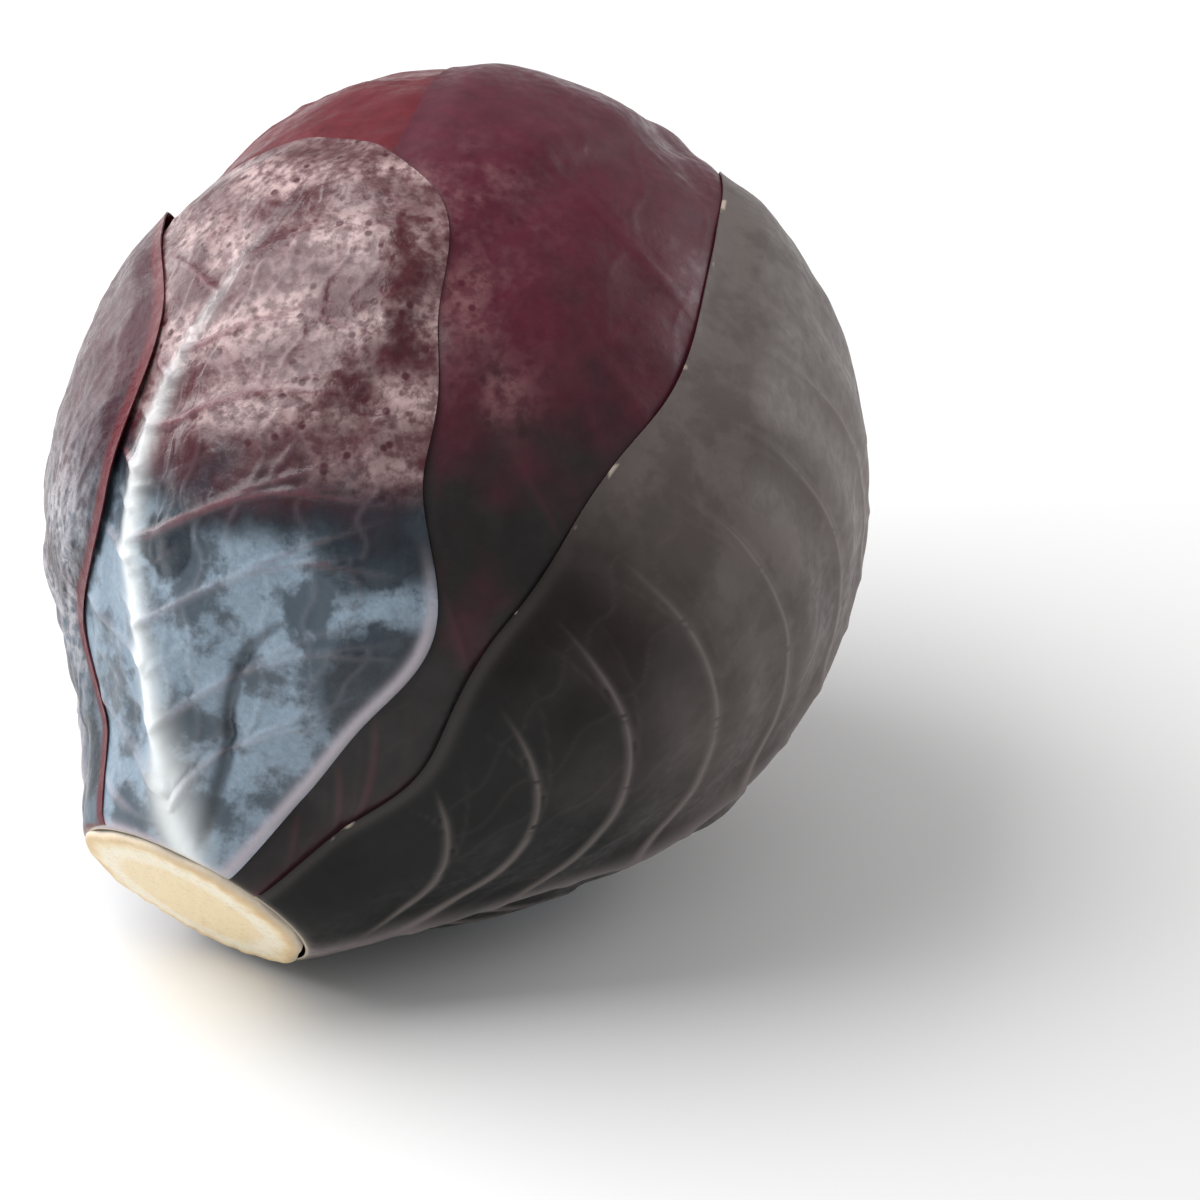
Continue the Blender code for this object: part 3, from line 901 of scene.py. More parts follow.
@dataclass(frozen=True)
class VeinPlan:
    """How the side veins of a leaf leave the midrib, fork and join. Sizes are shares of the widest rib."""

    first: float = 0.07
    span: float = 0.87
    side_size: float = 0.75
    fork_size: float = 0.50
    minor_size: float = 0.30
    link_size: float = 0.14
    links: int = 5
    points: int = 70
    link_points: int = 24
    reach: tuple[float, float] = (0.90, 0.98)
    lower_fork: tuple[float, float] = (0.36, 0.46)
    upper_fork: tuple[float, float] = (0.60, 0.72)
    minor_reach: tuple[float, float] = (0.30, 0.46)

    def paths(self, leaf: Leaf) -> tuple[list[Path], list[Path]]:
        """The side veins of a leaf, and the small ones between them.

        Args:
            leaf: The leaf.

        Returns:
            For each vein its v, its u and its size at each of its points, once for the side veins with
            their forks and once for the small ones.
        """
        draw = np.random.default_rng(VEIN_SEED + leaf.order)
        count, rows = leaf.venation.side_veins, leaf.venation.rows
        pitch = self.span / count
        large, small = [], []
        for side in (-1.0, 1.0):
            for k in range(count):
                v = self.first + pitch * (k + 0.5 + 0.2 * side + draw.uniform(-0.09, 0.09))
                v = round(v * rows) / rows
                self.add_side_vein(leaf.venation, side, v, pitch, draw, large, small)
        return large, small

    def add_side_vein(
        self,
        venation: Venation,
        side: float,
        v: float,
        pitch: float,
        draw: np.random.Generator,
        large: list[Path],
        small: list[Path],
    ) -> None:
        """Adds one side vein with its forks, its small neighbour and the links to the next one.

        Args:
            venation: How the leaf's veins run.
            side: -1 for the left half of the leaf, 1 for the right.
            v: Where it leaves the midrib.
            pitch: The distance in v to the next one.
            draw: Source of the small irregularities.
            large: Takes the side vein and its forks.
            small: Takes the rest.
        """
        fading = 1.0 - 0.85 * smoothstep((v - 0.66) / 0.24)
        size, forks = self.side_size * (1.0 - 0.35 * v) * fading, venation.forks * fading
        merging = 0.45 * max(0.0, 1.0 - v / venation.fan_share)
        far = draw.uniform(*self.reach)

        def line(start: float, end: float, offset: float, drift: float, thick: float, thin: float) -> Path:
            """A path out over the blade, from one share of its half width to another.

            Args:
                start: Share where it starts.
                end: Share where it ends.
                offset: Pitches along from the side vein.
                drift: Pitches that it drifts by.
                thick: Size at its start.
                thin: Size at its end.

            Returns:
                Its v, u and size.
            """
            t = np.linspace(0.0, 1.0, self.points)
            path_v = np.clip(v + pitch * (offset + drift * t**1.3), 0.004, 0.985)
            grown = smoothstep((start + (end - start) * t) / merging) if merging else 1.0
            thickness = (thick + (thin - thick) * t**0.8) * smoothstep((1.0 - t) / 0.25)
            parent = size * (1.0 - (1.0 - venation.vein_end) * (start / far) ** 0.8) if start else thick
            thickness = thickness + max(0.0, parent - thick) * (1.0 - smoothstep(t / 0.12))
            return path_v, side * (start + (end - start) * t), thickness * grown

        middling = size * self.fork_size * forks
        large.append(line(0.0, far, 0.0, 0.0, size, venation.vein_end * size))
        large.append(line(draw.uniform(*self.lower_fork), 0.95, 0.0, 0.42, middling, 0.15 * middling))
        large.append(line(draw.uniform(*self.upper_fork), 0.96, 0.0, -0.34, middling, 0.15 * middling))
        minor = draw.uniform(*self.minor_reach)
        small.append(line(0.0, minor, 0.5, 0.1, forks * self.minor_size, forks * 0.06))
        for k in range(self.links):
            t = np.linspace(0.0, 1.0, self.link_points)
            share = (k + draw.uniform(0.4, 1.2)) / (self.links + 0.8)
            zigzag = 0.016 * np.sin(2.0 * math.pi * (1.5 * t + draw.uniform()))
            path_u = np.clip(share + 0.06 * t + zigzag, 0.02, 0.97)
            sizes = np.full(self.link_points, forks * self.link_size)
            small.append((np.clip(v + pitch * t, 0.004, 0.985), side * path_u, sizes))


class Graph:
    """A node tree while it is built, with short calls for what repeats."""

    def __init__(self, tree: bpy.types.NodeTree) -> None:
        """Empties the tree."""
        self.tree = tree
        tree.nodes.clear()

    def node(self, kind: str, **settings: object) -> bpy.types.Node:
        """Adds a node of that type with those settings.

        Args:
            kind: The node's type.
            **settings: Its properties by name.

        Returns:
            The node.
        """
        made = self.tree.nodes.new(kind)
        for name, value in settings.items():
            setattr(made, name, value)
        return made

    def put(self, target: bpy.types.NodeSocket, value: object) -> None:
        """Links another node's output to a socket, or sets the socket's value.

        Args:
            target: The input to set.
            value: A socket or a plain value.
        """
        if isinstance(value, bpy.types.NodeSocket):
            self.tree.links.new(value, target)
        else:
            target.default_value = value

    def math(self, operation: str, a: object, b: object = 0.0, clamp: bool = False) -> bpy.types.NodeSocket:
        """One sum on one or two values.

        Args:
            operation: The sum.
            a: First value.
            b: Second value.
            clamp: Keeps it within 0 and 1.

        Returns:
            The result's socket.
        """
        made = self.node("ShaderNodeMath", operation=operation, use_clamp=clamp)
        self.put(made.inputs[0], a)
        self.put(made.inputs[1], b)
        return made.outputs[0]

    def times(self, *factors: object) -> bpy.types.NodeSocket:
        """The product of several values.

        Args:
            *factors: Sockets or numbers, one socket at least.

        Returns:
            The result's socket.
        """
        product = factors[0]
        for factor in factors[1:]:
            product = self.math("MULTIPLY", product, factor)
        return product

    def line(self, value: object, start: float, rise: float) -> bpy.types.NodeSocket:
        """That start where the value is 0, and the rise more where it is 1."""
        return self.math("ADD", self.times(value, rise), start)

    def between(self, value: object, low: float, high: float) -> bpy.types.NodeSocket:
        """0 at low, 1 at high and a smooth rise between; low may be the larger.

        Args:
            value: The value.
            low: Where the rise starts.
            high: Where it ends.

        Returns:
            The result's socket.
        """
        made = self.node("ShaderNodeMapRange", interpolation_type="SMOOTHSTEP")
        self.put(made.inputs["Value"], value)
        made.inputs["From Min"].default_value = low
        made.inputs["From Max"].default_value = high
        return made.outputs["Result"]

    def noise(self, size: float, at: object, detail: float = 2.0, rough: float = 0.5) -> bpy.types.NodeSocket:
        """Noise whose spots are about that many metres across.

        Args:
            size: Size of a spot.
            at: Where to read it.
            detail: Octaves.
            rough: Weight of each.

        Returns:
            The result's socket.
        """
        made = self.node("ShaderNodeTexNoise")
        self.put(made.inputs["Vector"], at)
        made.inputs["Scale"].default_value = 1.0 / size
        made.inputs["Detail"].default_value = detail
        made.inputs["Roughness"].default_value = rough
        return made.outputs[0]

    def dots(self, size: float, at: object) -> bpy.types.NodeSocket:
        """Distance to the middles of dots that are about that many metres apart, as a share of that size.

        Args:
            size: Metres from dot to dot.
            at: Where to read them.

        Returns:
            The result's socket.
        """
        made = self.node("ShaderNodeTexVoronoi", feature="F1")
        self.put(made.inputs["Vector"], at)
        made.inputs["Scale"].default_value = 1.0 / size
        return made.outputs["Distance"]

    def blend(self, share: object, first: object, second: object) -> bpy.types.NodeSocket:
        """Mixes two colours.

        Args:
            share: 0 for the first colour, 1 for the second.
            first: A colour.
            second: A colour.

        Returns:
            The result's socket.
        """
        made = self.node("ShaderNodeMix", data_type="RGBA")
        self.put(made.inputs[0], share)
        self.put(made.inputs[6], first)
        self.put(made.inputs[7], second)
        return made.outputs[2]

    def attribute(self, name: str) -> bpy.types.NodeSocket:
        """A float attribute of the mesh, in a material."""
        return self.node("ShaderNodeAttribute", attribute_name=name).outputs["Fac"]


def new_material(name: str) -> tuple[bpy.types.Material, Graph, bpy.types.Node, bpy.types.NodeSocket]:
    """An empty material with its shader and output.

    Args:
        name: The material's name.

    Returns:
        The material, its graph, its Principled shader and the Object coordinates.
    """
    made = bpy.data.materials.new(name)
    made.use_nodes = True
    graph = Graph(made.node_tree)
    shader = graph.node("ShaderNodeBsdfPrincipled")
    output = graph.node("ShaderNodeOutputMaterial")
    graph.put(output.inputs["Surface"], shader.outputs[0])
    return made, graph, shader, graph.node("ShaderNodeTexCoord").outputs["Object"]


def bump(graph: Graph, shader: bpy.types.Node, height: object, depth: float, strength: float) -> None:
    """Bumps a shader's surface.

    Args:
        graph: The material's graph.
        shader: The shader.
        height: 0 to 1.
        depth: Metres that 1 stands for.
        strength: Share of the effect.
    """
    made = graph.node("ShaderNodeBump")
    made.inputs["Strength"].default_value = strength
    made.inputs["Distance"].default_value = depth
    graph.put(made.inputs["Height"], height)
    graph.put(shader.inputs["Normal"], made.outputs["Normal"])


@dataclass(frozen=True)
class RibRelief:
    """The node tree that raises veins on a blade along the paths that two other objects hold."""

    height: float = 1.10 * MM
    width: float = 1.45 * MM
    crease_depth: float = 1.3 * MM
    crease_width: float = 1.4 * MM
    least_width: float = 0.35
    pebble_height: float = 0.22 * MM

    def tree(self) -> bpy.types.NodeTree:
        """Builds the tree, with named inputs for the vein paths, the sizes and the material.

        Returns:
            The tree.
        """
        tree = bpy.data.node_groups.new("leaf_ribs", "GeometryNodeTree")
        graph = Graph(tree)
        kinds = (
            ("Blade", "NodeSocketGeometry"),
            ("Side veins", "NodeSocketObject"),
            ("Small veins", "NodeSocketObject"),
            ("Creases", "NodeSocketObject"),
            ("Rib height", "NodeSocketFloat"),
            ("Rib width", "NodeSocketFloat"),
            ("Crease depth", "NodeSocketFloat"),
            ("Crease width", "NodeSocketFloat"),
            ("Pebble height", "NodeSocketFloat"),
            ("Pebble size", "NodeSocketFloat"),
            ("Finish", "NodeSocketMaterial"),
        )
        for name, kind in kinds:
            tree.interface.new_socket(name, in_out="INPUT", socket_type=kind)
        tree.interface.new_socket("Leaf", in_out="OUTPUT", socket_type="NodeSocketGeometry")
        given, result = graph.node("NodeGroupInput").outputs, graph.node("NodeGroupOutput")

        side_veins = self.raised(graph, given["Side veins"], given["Rib width"])
        small_veins = self.raised(graph, given["Small veins"], given["Rib width"])
        raised = graph.math("MAXIMUM", side_veins, small_veins)
        free = self.named(graph, "open", "FLOAT")
        pebbles = graph.node("ShaderNodeTexNoise")
        graph.put(pebbles.inputs["Scale"], graph.math("DIVIDE", 1.0, given["Pebble size"]))
        pebbles.inputs["Detail"].default_value = 1.0
        graph.put(pebbles.inputs["Vector"], graph.node("GeometryNodeInputPosition").outputs[0])
        pebble_gain = graph.math("ADD", 0.6, self.named(graph, "highlight_area", "FLOAT"))
        uneven = graph.math("SUBTRACT", pebbles.outputs[0], 0.5)
        uneven = graph.times(uneven, 2.0, given["Pebble height"], pebble_gain)
        rise = graph.math("ADD", graph.times(raised, given["Rib height"]), uneven)
        folded = self.raised(graph, given["Creases"], given["Crease width"])
        rise = graph.math("SUBTRACT", rise, graph.times(folded, given["Crease depth"]))
        move = graph.node("ShaderNodeVectorMath", operation="SCALE")
        graph.put(move.inputs[0], self.named(graph, "out", "FLOAT_VECTOR"))
        graph.put(move.inputs["Scale"], graph.times(rise, free))
        placed = graph.node("GeometryNodeSetPosition")
        graph.put(placed.inputs["Geometry"], given["Blade"])
        graph.put(placed.inputs["Offset"], move.outputs[0])

        marked = graph.times(graph.math("MULTIPLY", raised, 1.6, clamp=True), free)
        veined = self.stored(graph, placed.outputs["Geometry"], "vein", marked)
        veined = self.stored(graph, veined, "main", graph.times(side_veins, free))
        real = graph.node("GeometryNodeRealizeInstances")
        graph.put(real.inputs["Geometry"], self.stored(graph, veined, "crease", folded))
        finished = graph.node("GeometryNodeSetMaterial")
        graph.put(finished.inputs["Geometry"], real.outputs["Geometry"])
        graph.put(finished.inputs["Material"], given["Finish"])
        graph.put(result.inputs[0], finished.outputs["Geometry"])
        return tree

    def raised(self, graph: Graph, veins: bpy.types.NodeSocket, rib_width: object) -> bpy.types.NodeSocket:
        """How far the nearest of those veins raises each point, from 0 to 1.

        Args:
            graph: The tree.
            veins: The object that holds the veins' paths.
            rib_width: The widest rib's width.

        Returns:
            The share of the rib's height.
        """
        paths = graph.node("GeometryNodeObjectInfo", transform_space="ORIGINAL")
        graph.put(paths.inputs["Object"], veins)
        near = graph.node("GeometryNodeProximity", target_element="EDGES")
        graph.put(near.inputs[0], paths.outputs["Geometry"])
        nearest = graph.node("GeometryNodeSampleNearest", domain="POINT")
        graph.put(nearest.inputs["Geometry"], paths.outputs["Geometry"])
        sized = graph.node("GeometryNodeSampleIndex", data_type="FLOAT", domain="POINT")
        graph.put(sized.inputs["Geometry"], paths.outputs["Geometry"])
        graph.put(sized.inputs["Value"], self.named(graph, "size", "FLOAT"))
        graph.put(sized.inputs["Index"], nearest.outputs["Index"])
        size = sized.outputs["Value"]
        span = graph.line(size, self.least_width, 1.0 - self.least_width)
        apart = graph.math("DIVIDE", near.outputs["Distance"], graph.times(rib_width, span))
        profile = graph.math("EXPONENT", graph.times(apart, apart, -1.0))
        return graph.times(profile, graph.math("POWER", size, 0.8))

    def stored(self, graph: Graph, geometry: object, name: str, value: object) -> bpy.types.NodeSocket:
        """The geometry with that value kept on its points under that name.

        Args:
            graph: The tree's graph.
            geometry: The geometry.
            name: The attribute.
            value: What it holds.

        Returns:
            The result's socket.
        """
        made = graph.node("GeometryNodeStoreNamedAttribute", data_type="FLOAT", domain="POINT")
        graph.put(made.inputs["Geometry"], geometry)
        made.inputs["Name"].default_value = name
        graph.put(made.inputs["Value"], value)
        return made.outputs["Geometry"]

    def named(self, graph: Graph, name: str, data_type: str) -> bpy.types.NodeSocket:
        """A named attribute in the tree.

        Args:
            graph: The tree's graph.
            name: The attribute.
            data_type: Its type.

        Returns:
            The result's socket.
        """
        made = graph.node("GeometryNodeInputNamedAttribute", data_type=data_type)
        made.inputs["Name"].default_value = name
        return made.outputs["Attribute"]


def apply_tree(piece: bpy.types.Object, tree: bpy.types.NodeTree, values: dict[str, object]) -> None:
    """Runs a node tree on a piece and keeps the result as its plain mesh.

    Args:
        piece: The piece.
        tree: The tree.
        values: The tree's inputs by name.
    """
    modifier = piece.modifiers.new(tree.name, "NODES")
    modifier.node_group = tree
    for item in tree.interface.items_tree:
        if item.in_out == "INPUT" and item.name in values:
            modifier[item.identifier] = values[item.name]
    graph = bpy.context.evaluated_depsgraph_get()
    graph.update()
    result = bpy.data.meshes.new_from_object(
        piece.evaluated_get(graph), preserve_all_data_layers=True, depsgraph=graph
    )
    old = piece.data
    piece.modifiers.clear()
    piece.data = result
    bpy.data.meshes.remove(old)


def mesh_object(
    name: str, points: Array, faces: list[list[int]], edges: list[tuple[int, int]] = ()
) -> bpy.types.Object:
    """An object with that mesh, in the scene.

    Args:
        name: Its name.
        points: Vertices.
        faces: Vertex numbers of each face.
        edges: Vertex numbers of loose edges.

    Returns:
        The object.
    """
    mesh = bpy.data.meshes.new(name)
    mesh.from_pydata(points.tolist(), list(edges), faces)
    piece = bpy.data.objects.new(name, mesh)
    bpy.context.scene.collection.objects.link(piece)
    return piece


def set_attribute(piece: bpy.types.Object, name: str, values: Array) -> None:
    """Stores a float or a vector on each vertex.

    Args:
        piece: The mesh object.
        name: The attribute.
        values: One row for each vertex.
    """
    is_vector = values.ndim == 2
    kind, key = ("FLOAT_VECTOR", "vector") if is_vector else ("FLOAT", "value")
    made = piece.data.attributes.new(name, kind, "POINT")
    made.data.foreach_set(key, np.ascontiguousarray(values, dtype=np.float32).ravel())


def ride(piece: bpy.types.Object, slot: Slot, *nodes: str) -> None:
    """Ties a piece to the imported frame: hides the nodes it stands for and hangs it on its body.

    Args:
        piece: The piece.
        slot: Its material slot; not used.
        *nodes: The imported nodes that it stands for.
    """
    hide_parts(*nodes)
    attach(piece, BODY)
    LOG.info("%s: %d faces", piece.name, len(piece.data.polygons))


@dataclass
class Foliage:
    """Builds and dresses the leaves."""

    layers: Layers
    placement: Placement
    plan: VeinPlan = VeinPlan()
    relief: RibRelief = RibRelief()
    floor: float = 0.0
    underside: float = 0.5 * MM

    def build(self) -> None:
        """Makes every leaf, innermost first."""
        tree = self.relief.tree()
        for leaf in self.layers.leaves:
            blade = self.blade(leaf)
            kinds = (*self.plan.paths(leaf), self.crease_paths(leaf))
            large, small, creases = (self.vein_paths(leaf, paths) for paths in kinds)
            values = {
                "Side veins": large,
                "Small veins": small,
                "Creases": creases,
                "Crease depth": self.relief.crease_depth,
                "Crease width": self.relief.crease_width,
                "Rib height": self.relief.height * leaf.venation.relief,
                "Rib width": self.relief.width * leaf.venation.width,
                "Pebble height": self.relief.pebble_height * leaf.venation.uneven,
                "Pebble size": leaf.venation.pebble,
                "Finish": leaf.finish.material(),
            }
            apply_tree(blade, tree, values)
            for veins in (large, small, creases):
                bpy.data.objects.remove(veins)
            self.settle(blade)
            blade.data.shade_smooth()
            blade.data.set_sharp_from_angle(angle=math.radians(70))
            ride(blade, leaf.slot, leaf.name)

    def blade(self, leaf: Leaf) -> bpy.types.Object:
        """The closed shell of a leaf before its ribs: a fine outer face, a coarser inner one and the rim.

        Args:
            leaf: The leaf.

        Returns:
            The mesh object.
        """
        rows, wide = leaf.venation.rows, 2 * leaf.venation.half_columns + 1
        v, u = np.broadcast_arrays(np.arange(rows)[:, None] / rows, np.linspace(-1.0, 1.0, wide)[None, :])
        v, u = np.append(v.ravel(), 1.0), np.append(u.ravel(), 0.0)
        ways = leaf.ways_at(v, u)
        found = self.layers.faces(leaf, ways, v, u)
        coarse = np.arange(rows * wide).reshape(rows, wide)[::2, ::2]
        coarse = np.append(coarse.ravel(), rows * wide)
        outer = self.placement.world(self.layers.shape.seated(ways, found["outer"]))
        inner = self.placement.world(self.layers.shape.seated(ways, found["inner"]))[coarse]
        outer[:, 2] = np.maximum(outer[:, 2], self.floor)
        inner[:, 2] = np.maximum(inner[:, 2], self.floor + self.underside)
        points = np.concatenate([outer, inner])
        piece = mesh_object(leaf.name + "_blade", points, self.shell_faces(rows, wide))
        for name in ("along", "rib", "lip", "inset", "rubbed_and_shaded", "highlight_area", "cut"):
            set_attribute(piece, name, np.concatenate([found[name], found[name][coarse]]))
        set_attribute(piece, "open", np.concatenate([found["open"], np.zeros(len(coarse))]))
        out = self.placement.vectors(ways)
        set_attribute(piece, "out", np.concatenate([out, out[coarse]]))
        return piece

    def grid_faces(self, rows: int, wide: int) -> list[list[int]]:
        """Faces of a grid whose last row closes on one tip.

        Args:
            rows: Rows up to the tip.
            wide: Points in a row.

        Returns:
            The faces.
        """
        starts = [row * wide + column for row in range(rows - 1) for column in range(wide - 1)]
        faces = [[a, a + 1, a + wide + 1, a + wide] for a in starts]
        last, tip = (rows - 1) * wide, rows * wide
        return faces + [[last + column, last + column + 1, tip] for column in range(wide - 1)]

    def rim(self, rows: int, wide: int) -> list[int]:
        """The grid's outline: its first row, its right side, its tip and its left side."""
        right = [row * wide + wide - 1 for row in range(1, rows)]
        return list(range(wide)) + right + [rows * wide] + [row * wide for row in range(rows - 1, 0, -1)]

    def shell_faces(self, rows: int, wide: int) -> list[list[int]]:
        """Faces of a shell: the outer grid, an inner one half as fine, and the rim that joins them.

        Args:
            rows: Rows of the outer grid up to the tip.
            wide: Points in its rows.

        Returns:
            The faces.
        """
        start = rows * wide + 1
        inner_rows, inner_wide = rows // 2, (wide + 1) // 2
        inner_faces = self.grid_faces(inner_rows, inner_wide)
        inner_faces = [[start + index for index in reversed(face)] for face in inner_faces]
        outer_rim = self.rim(rows, wide)
        inner_rim = [start + index for index in self.rim(inner_rows, inner_wide)]
        outer_rim, inner_rim = outer_rim + outer_rim[:1], inner_rim + inner_rim[:1]
        joins = [
            [outer_rim[2 * k + 2], outer_rim[2 * k + 1], outer_rim[2 * k], inner_rim[k], inner_rim[k + 1]]
            for k in range(len(inner_rim) - 1)
        ]
        return self.grid_faces(rows, wide) + inner_faces + joins

    def crease_paths(self, leaf: Leaf) -> list[Path]:
        """The leaf's folds as fine paths; one far off the blade where it has none.

        Args:
            leaf: The leaf.

        Returns:
            One path for each fold.
        """
        found = []
        for crease in leaf.venation.creases or (((0.0, 0.0), (0.002, 0.0)),):
            knots = np.array(crease)
            at, t = np.linspace(0.0, 1.0, len(knots)), np.linspace(0.0, 1.0, 60)
            size = np.sin(math.pi * np.clip(t, 0.08, 0.95)) ** 0.5 if leaf.venation.creases else np.zeros(60)
            found.append((curve_through(at, knots[:, 0], t), curve_through(at, knots[:, 1], t), size))
        return found

    def vein_paths(self, leaf: Leaf, paths: list[Path]) -> bpy.types.Object:
        """Veins as loose edges on the leaf's outer face, with their size at each point.

        Args:
            leaf: The leaf.
            paths: Each vein's v, u and size.

        Returns:
            The object that holds them.
        """
        edges, start = [], 0
        for path_v, _, _ in paths:
            edges += [(start + k, start + k + 1) for k in range(len(path_v) - 1)]
            start += len(path_v)
        v, u, size = (np.concatenate(part) for part in zip(*paths))
        ways = leaf.ways_at(v, u)
        outer = self.layers.faces(leaf, ways, v, u)["outer"]
        world = self.placement.world(self.layers.shape.seated(ways, outer))
        veins = mesh_object(leaf.name + "_veins", world, [], edges)
        set_attribute(veins, "size", size)
        return veins

    def settle(self, piece: bpy.types.Object) -> None:
        """Keeps every point of a finished leaf on or above the surface.

        Args:
            piece: The finished leaf.
        """
        count = len(piece.data.vertices)
        points = np.empty(count * 3, dtype=np.float32)
        piece.data.vertices.foreach_get("co", points)
        points[2::3] = np.maximum(points[2::3], self.floor)
        piece.data.vertices.foreach_set("co", points)
        piece.data.update()


@dataclass(frozen=True)
class StemFinish:
    """Colours of the cut stem."""

    pith: Colour = (0.88, 0.73, 0.47, 1.0)
    cortex: Colour = (0.93, 0.85, 0.68, 1.0)
    dry: Colour = (0.60, 0.37, 0.15, 1.0)
    skin: Colour = (0.70, 0.62, 0.50, 1.0)

    def material(self) -> bpy.types.Material:
        """Cream pith inside a paler ring, drier towards the cut edge, with knife marks, and a dull skin.

        Returns:
            The material.
        """
        made, graph, shader, at = new_material("cut_stem_flesh")
        share, face = graph.attribute("share"), graph.attribute("face")
        patches = graph.noise(9 * MM, at, 4.0, 0.6)
        uneven = graph.math("ADD", share, graph.times(graph.math("SUBTRACT", patches, 0.5), 0.22))
        ring = graph.times(graph.between(uneven, 0.58, 0.72), graph.between(uneven, 0.92, 0.80))
        colour = graph.blend(ring, self.pith, self.cortex)
        fibres = graph.between(graph.noise(0.9 * MM, at, 2.0, 0.6), 0.52, 0.70)
        colour = graph.blend(graph.times(fibres, 0.30), colour, self.dry)
        dried = graph.times(graph.between(uneven, 0.86, 1.02), 0.75)
        colour = graph.blend(dried, colour, self.dry)
        stained = graph.times(graph.between(patches, 0.56, 0.72), 0.20)
        colour = graph.blend(stained, colour, self.dry)
        colour = graph.blend(face, self.skin, colour)
        graph.put(shader.inputs["Base Color"], colour)
        graph.put(shader.inputs["Roughness"], graph.line(patches, 0.46, 0.2))
        shader.inputs["Subsurface Weight"].default_value = 0.15
        shader.inputs["Subsurface Radius"].default_value = (0.003, 0.0015, 0.0008)
        shader.inputs["Subsurface Scale"].default_value = 0.5
        marks = graph.math("ADD", graph.noise(1.4 * MM, at, 3.0, 0.6), graph.times(patches, 0.8))
        bump(graph, shader, marks, 0.6 * MM, 0.4)
        return made


@dataclass
class CutStem:
    """The stem, from its cut face up into the heart."""

    shape: HeadShape
    placement: Placement
    finish: StemFinish = StemFinish()
    sides: int = 144
    face_rings: int = 26
    ease: float = 1.2 * MM
    dome: float = 0.6 * MM

    def build(self) -> None:
        """Makes the stem and ties it to the frame."""
        profile = self.profile()
        turns = np.linspace(0.0, 2.0 * math.pi, self.sides, endpoint=False)
        uneven = 1.0 + 0.018 * np.sin(3 * turns + 0.7) + 0.012 * np.sin(7 * turns)
        uneven = uneven + 0.008 * np.sin(13 * turns + 2.0)
        points, share, face = [], [], []
        for radius, height, on_face in profile:
            reach = radius * (1.0 + (uneven - 1.0) * min(1.0, radius / self.shape.stem_radius) ** 3)
            ring = [reach * np.cos(turns), reach * np.sin(turns), np.full(self.sides, height)]
            points.append(np.stack(ring, axis=-1))
            share.append(np.full(self.sides, radius / self.shape.stem_radius))
            face.append(np.full(self.sides, on_face))
        local = np.concatenate(points)
        on_face = np.concatenate(face)
        marks = Ripples(5, 0.012).at(local * np.array([1.0, 3.0, 0.0])) * 0.12 * MM
        local[:, 2] += np.where(on_face > 0.5, marks, 0.0)
        ends = np.array([[0.0, 0.0, profile[0][1]], [0.0, 0.0, profile[-1][1]]])
        world = self.placement.world(self.shape.grown(np.concatenate([local, ends])))
        piece = mesh_object("stem_cut", world, self.faces(len(profile)))
        set_attribute(piece, "share", np.concatenate([np.concatenate(share), [0.0, 0.0]]))
        set_attribute(piece, "face", np.concatenate([on_face, [1.0, 0.0]]))
        piece.data.materials.append(self.finish.material())
        piece.data.shade_smooth()
        ride(piece, Slot.CUT_STEM, "stem")

    def profile(self) -> list[tuple[float, float, float]]:
        """(radius, height, 1 on the cut face) from the middle of the face to the blunt inner end.

        Returns:
            The rows, from the middle of the face.
        """
        full, face = self.shape.stem_radius, -self.shape.stem_face
        taper, end = self.shape.stem_taper, self.shape.stem_depth
        found = []
        for k in range(1, self.face_rings + 1):
            radius = (full - self.ease) * k / self.face_rings
            found.append((radius, face - self.dome * (1.0 - (radius / full) ** 2), 1.0))
        for k in range(1, 5):
            turn = 0.5 * math.pi * k / 4
            radius = full - self.ease + self.ease * math.sin(turn)
            found.append((radius, face + self.ease * (1.0 - math.cos(turn)), 1.0 - k / 4))
        for k in range(1, 13):
            depth = self.ease + (end - 6 * MM - self.ease) * k / 12
            found.append((full - taper * depth, face + depth, 0.0))
        found.append((0.6 * (full - taper * end), face + end - 1 * MM, 0.0))
        return found

    def faces(self, rings: int) -> list[list[int]]:
        """Faces of the turned solid, outwards, with a fan at each end.

        Args:
            rings: Rings of the turned solid.

        Returns:
            The faces.
        """
        sides = self.sides
        first, last = rings * sides, rings * sides + 1
        faces = []
        for k in range(sides):
            after = (k + 1) % sides
            faces.append([first, after, k])
            faces.append([last, (rings - 1) * sides + k, (rings - 1) * sides + after])
            for ring in range(rings - 1):
                a, b = ring * sides, (ring + 1) * sides
                faces.append([a + k, a + after, b + after, b + k])
        return faces


def heart_material() -> bpy.types.Material:
    """The tight inner leaves, as seen down the gap beside the stem.

    Returns:
        The material.
    """
    made, graph, shader, at = new_material("heart_leaf")
    broad = graph.noise(12 * MM, at, 4.0, 0.6)
    colour = graph.blend(graph.between(broad, 0.35, 0.65), (0.10, 0.025, 0.06, 1.0), (0.34, 0.16, 0.27, 1.0))
    graph.put(shader.inputs["Base Color"], colour)
    graph.put(shader.inputs["Roughness"], graph.line(broad, 0.36, 0.2))
    bump(graph, shader, graph.noise(2 * MM, at, 3.0), 0.5 * MM, 0.3)
    return made


@dataclass(frozen=True)
class SoftBox:
    """A soft studio light that looks at the head."""

    name: str
    place: tuple[float, float, float]
    size: float
    watts: float
    colour: tuple[float, float, float] = (1.0, 1.0, 1.0)

    def build(self, target: Vector) -> None:
        """Hangs the light and turns it to the target.

        Args:
            target: The point that it shines on.
        """
        light = bpy.data.lights.new(self.name, "AREA")
        light.shape = "SQUARE"
        light.size = self.size
        light.energy = self.watts
        light.color = self.colour
        lamp = bpy.data.objects.new(self.name, light)
        lamp.location = target + Vector(self.place)
        lamp.rotation_euler = (-Vector(self.place)).to_track_quat("-Z", "Y").to_euler()
        bpy.context.scene.collection.objects.link(lamp)


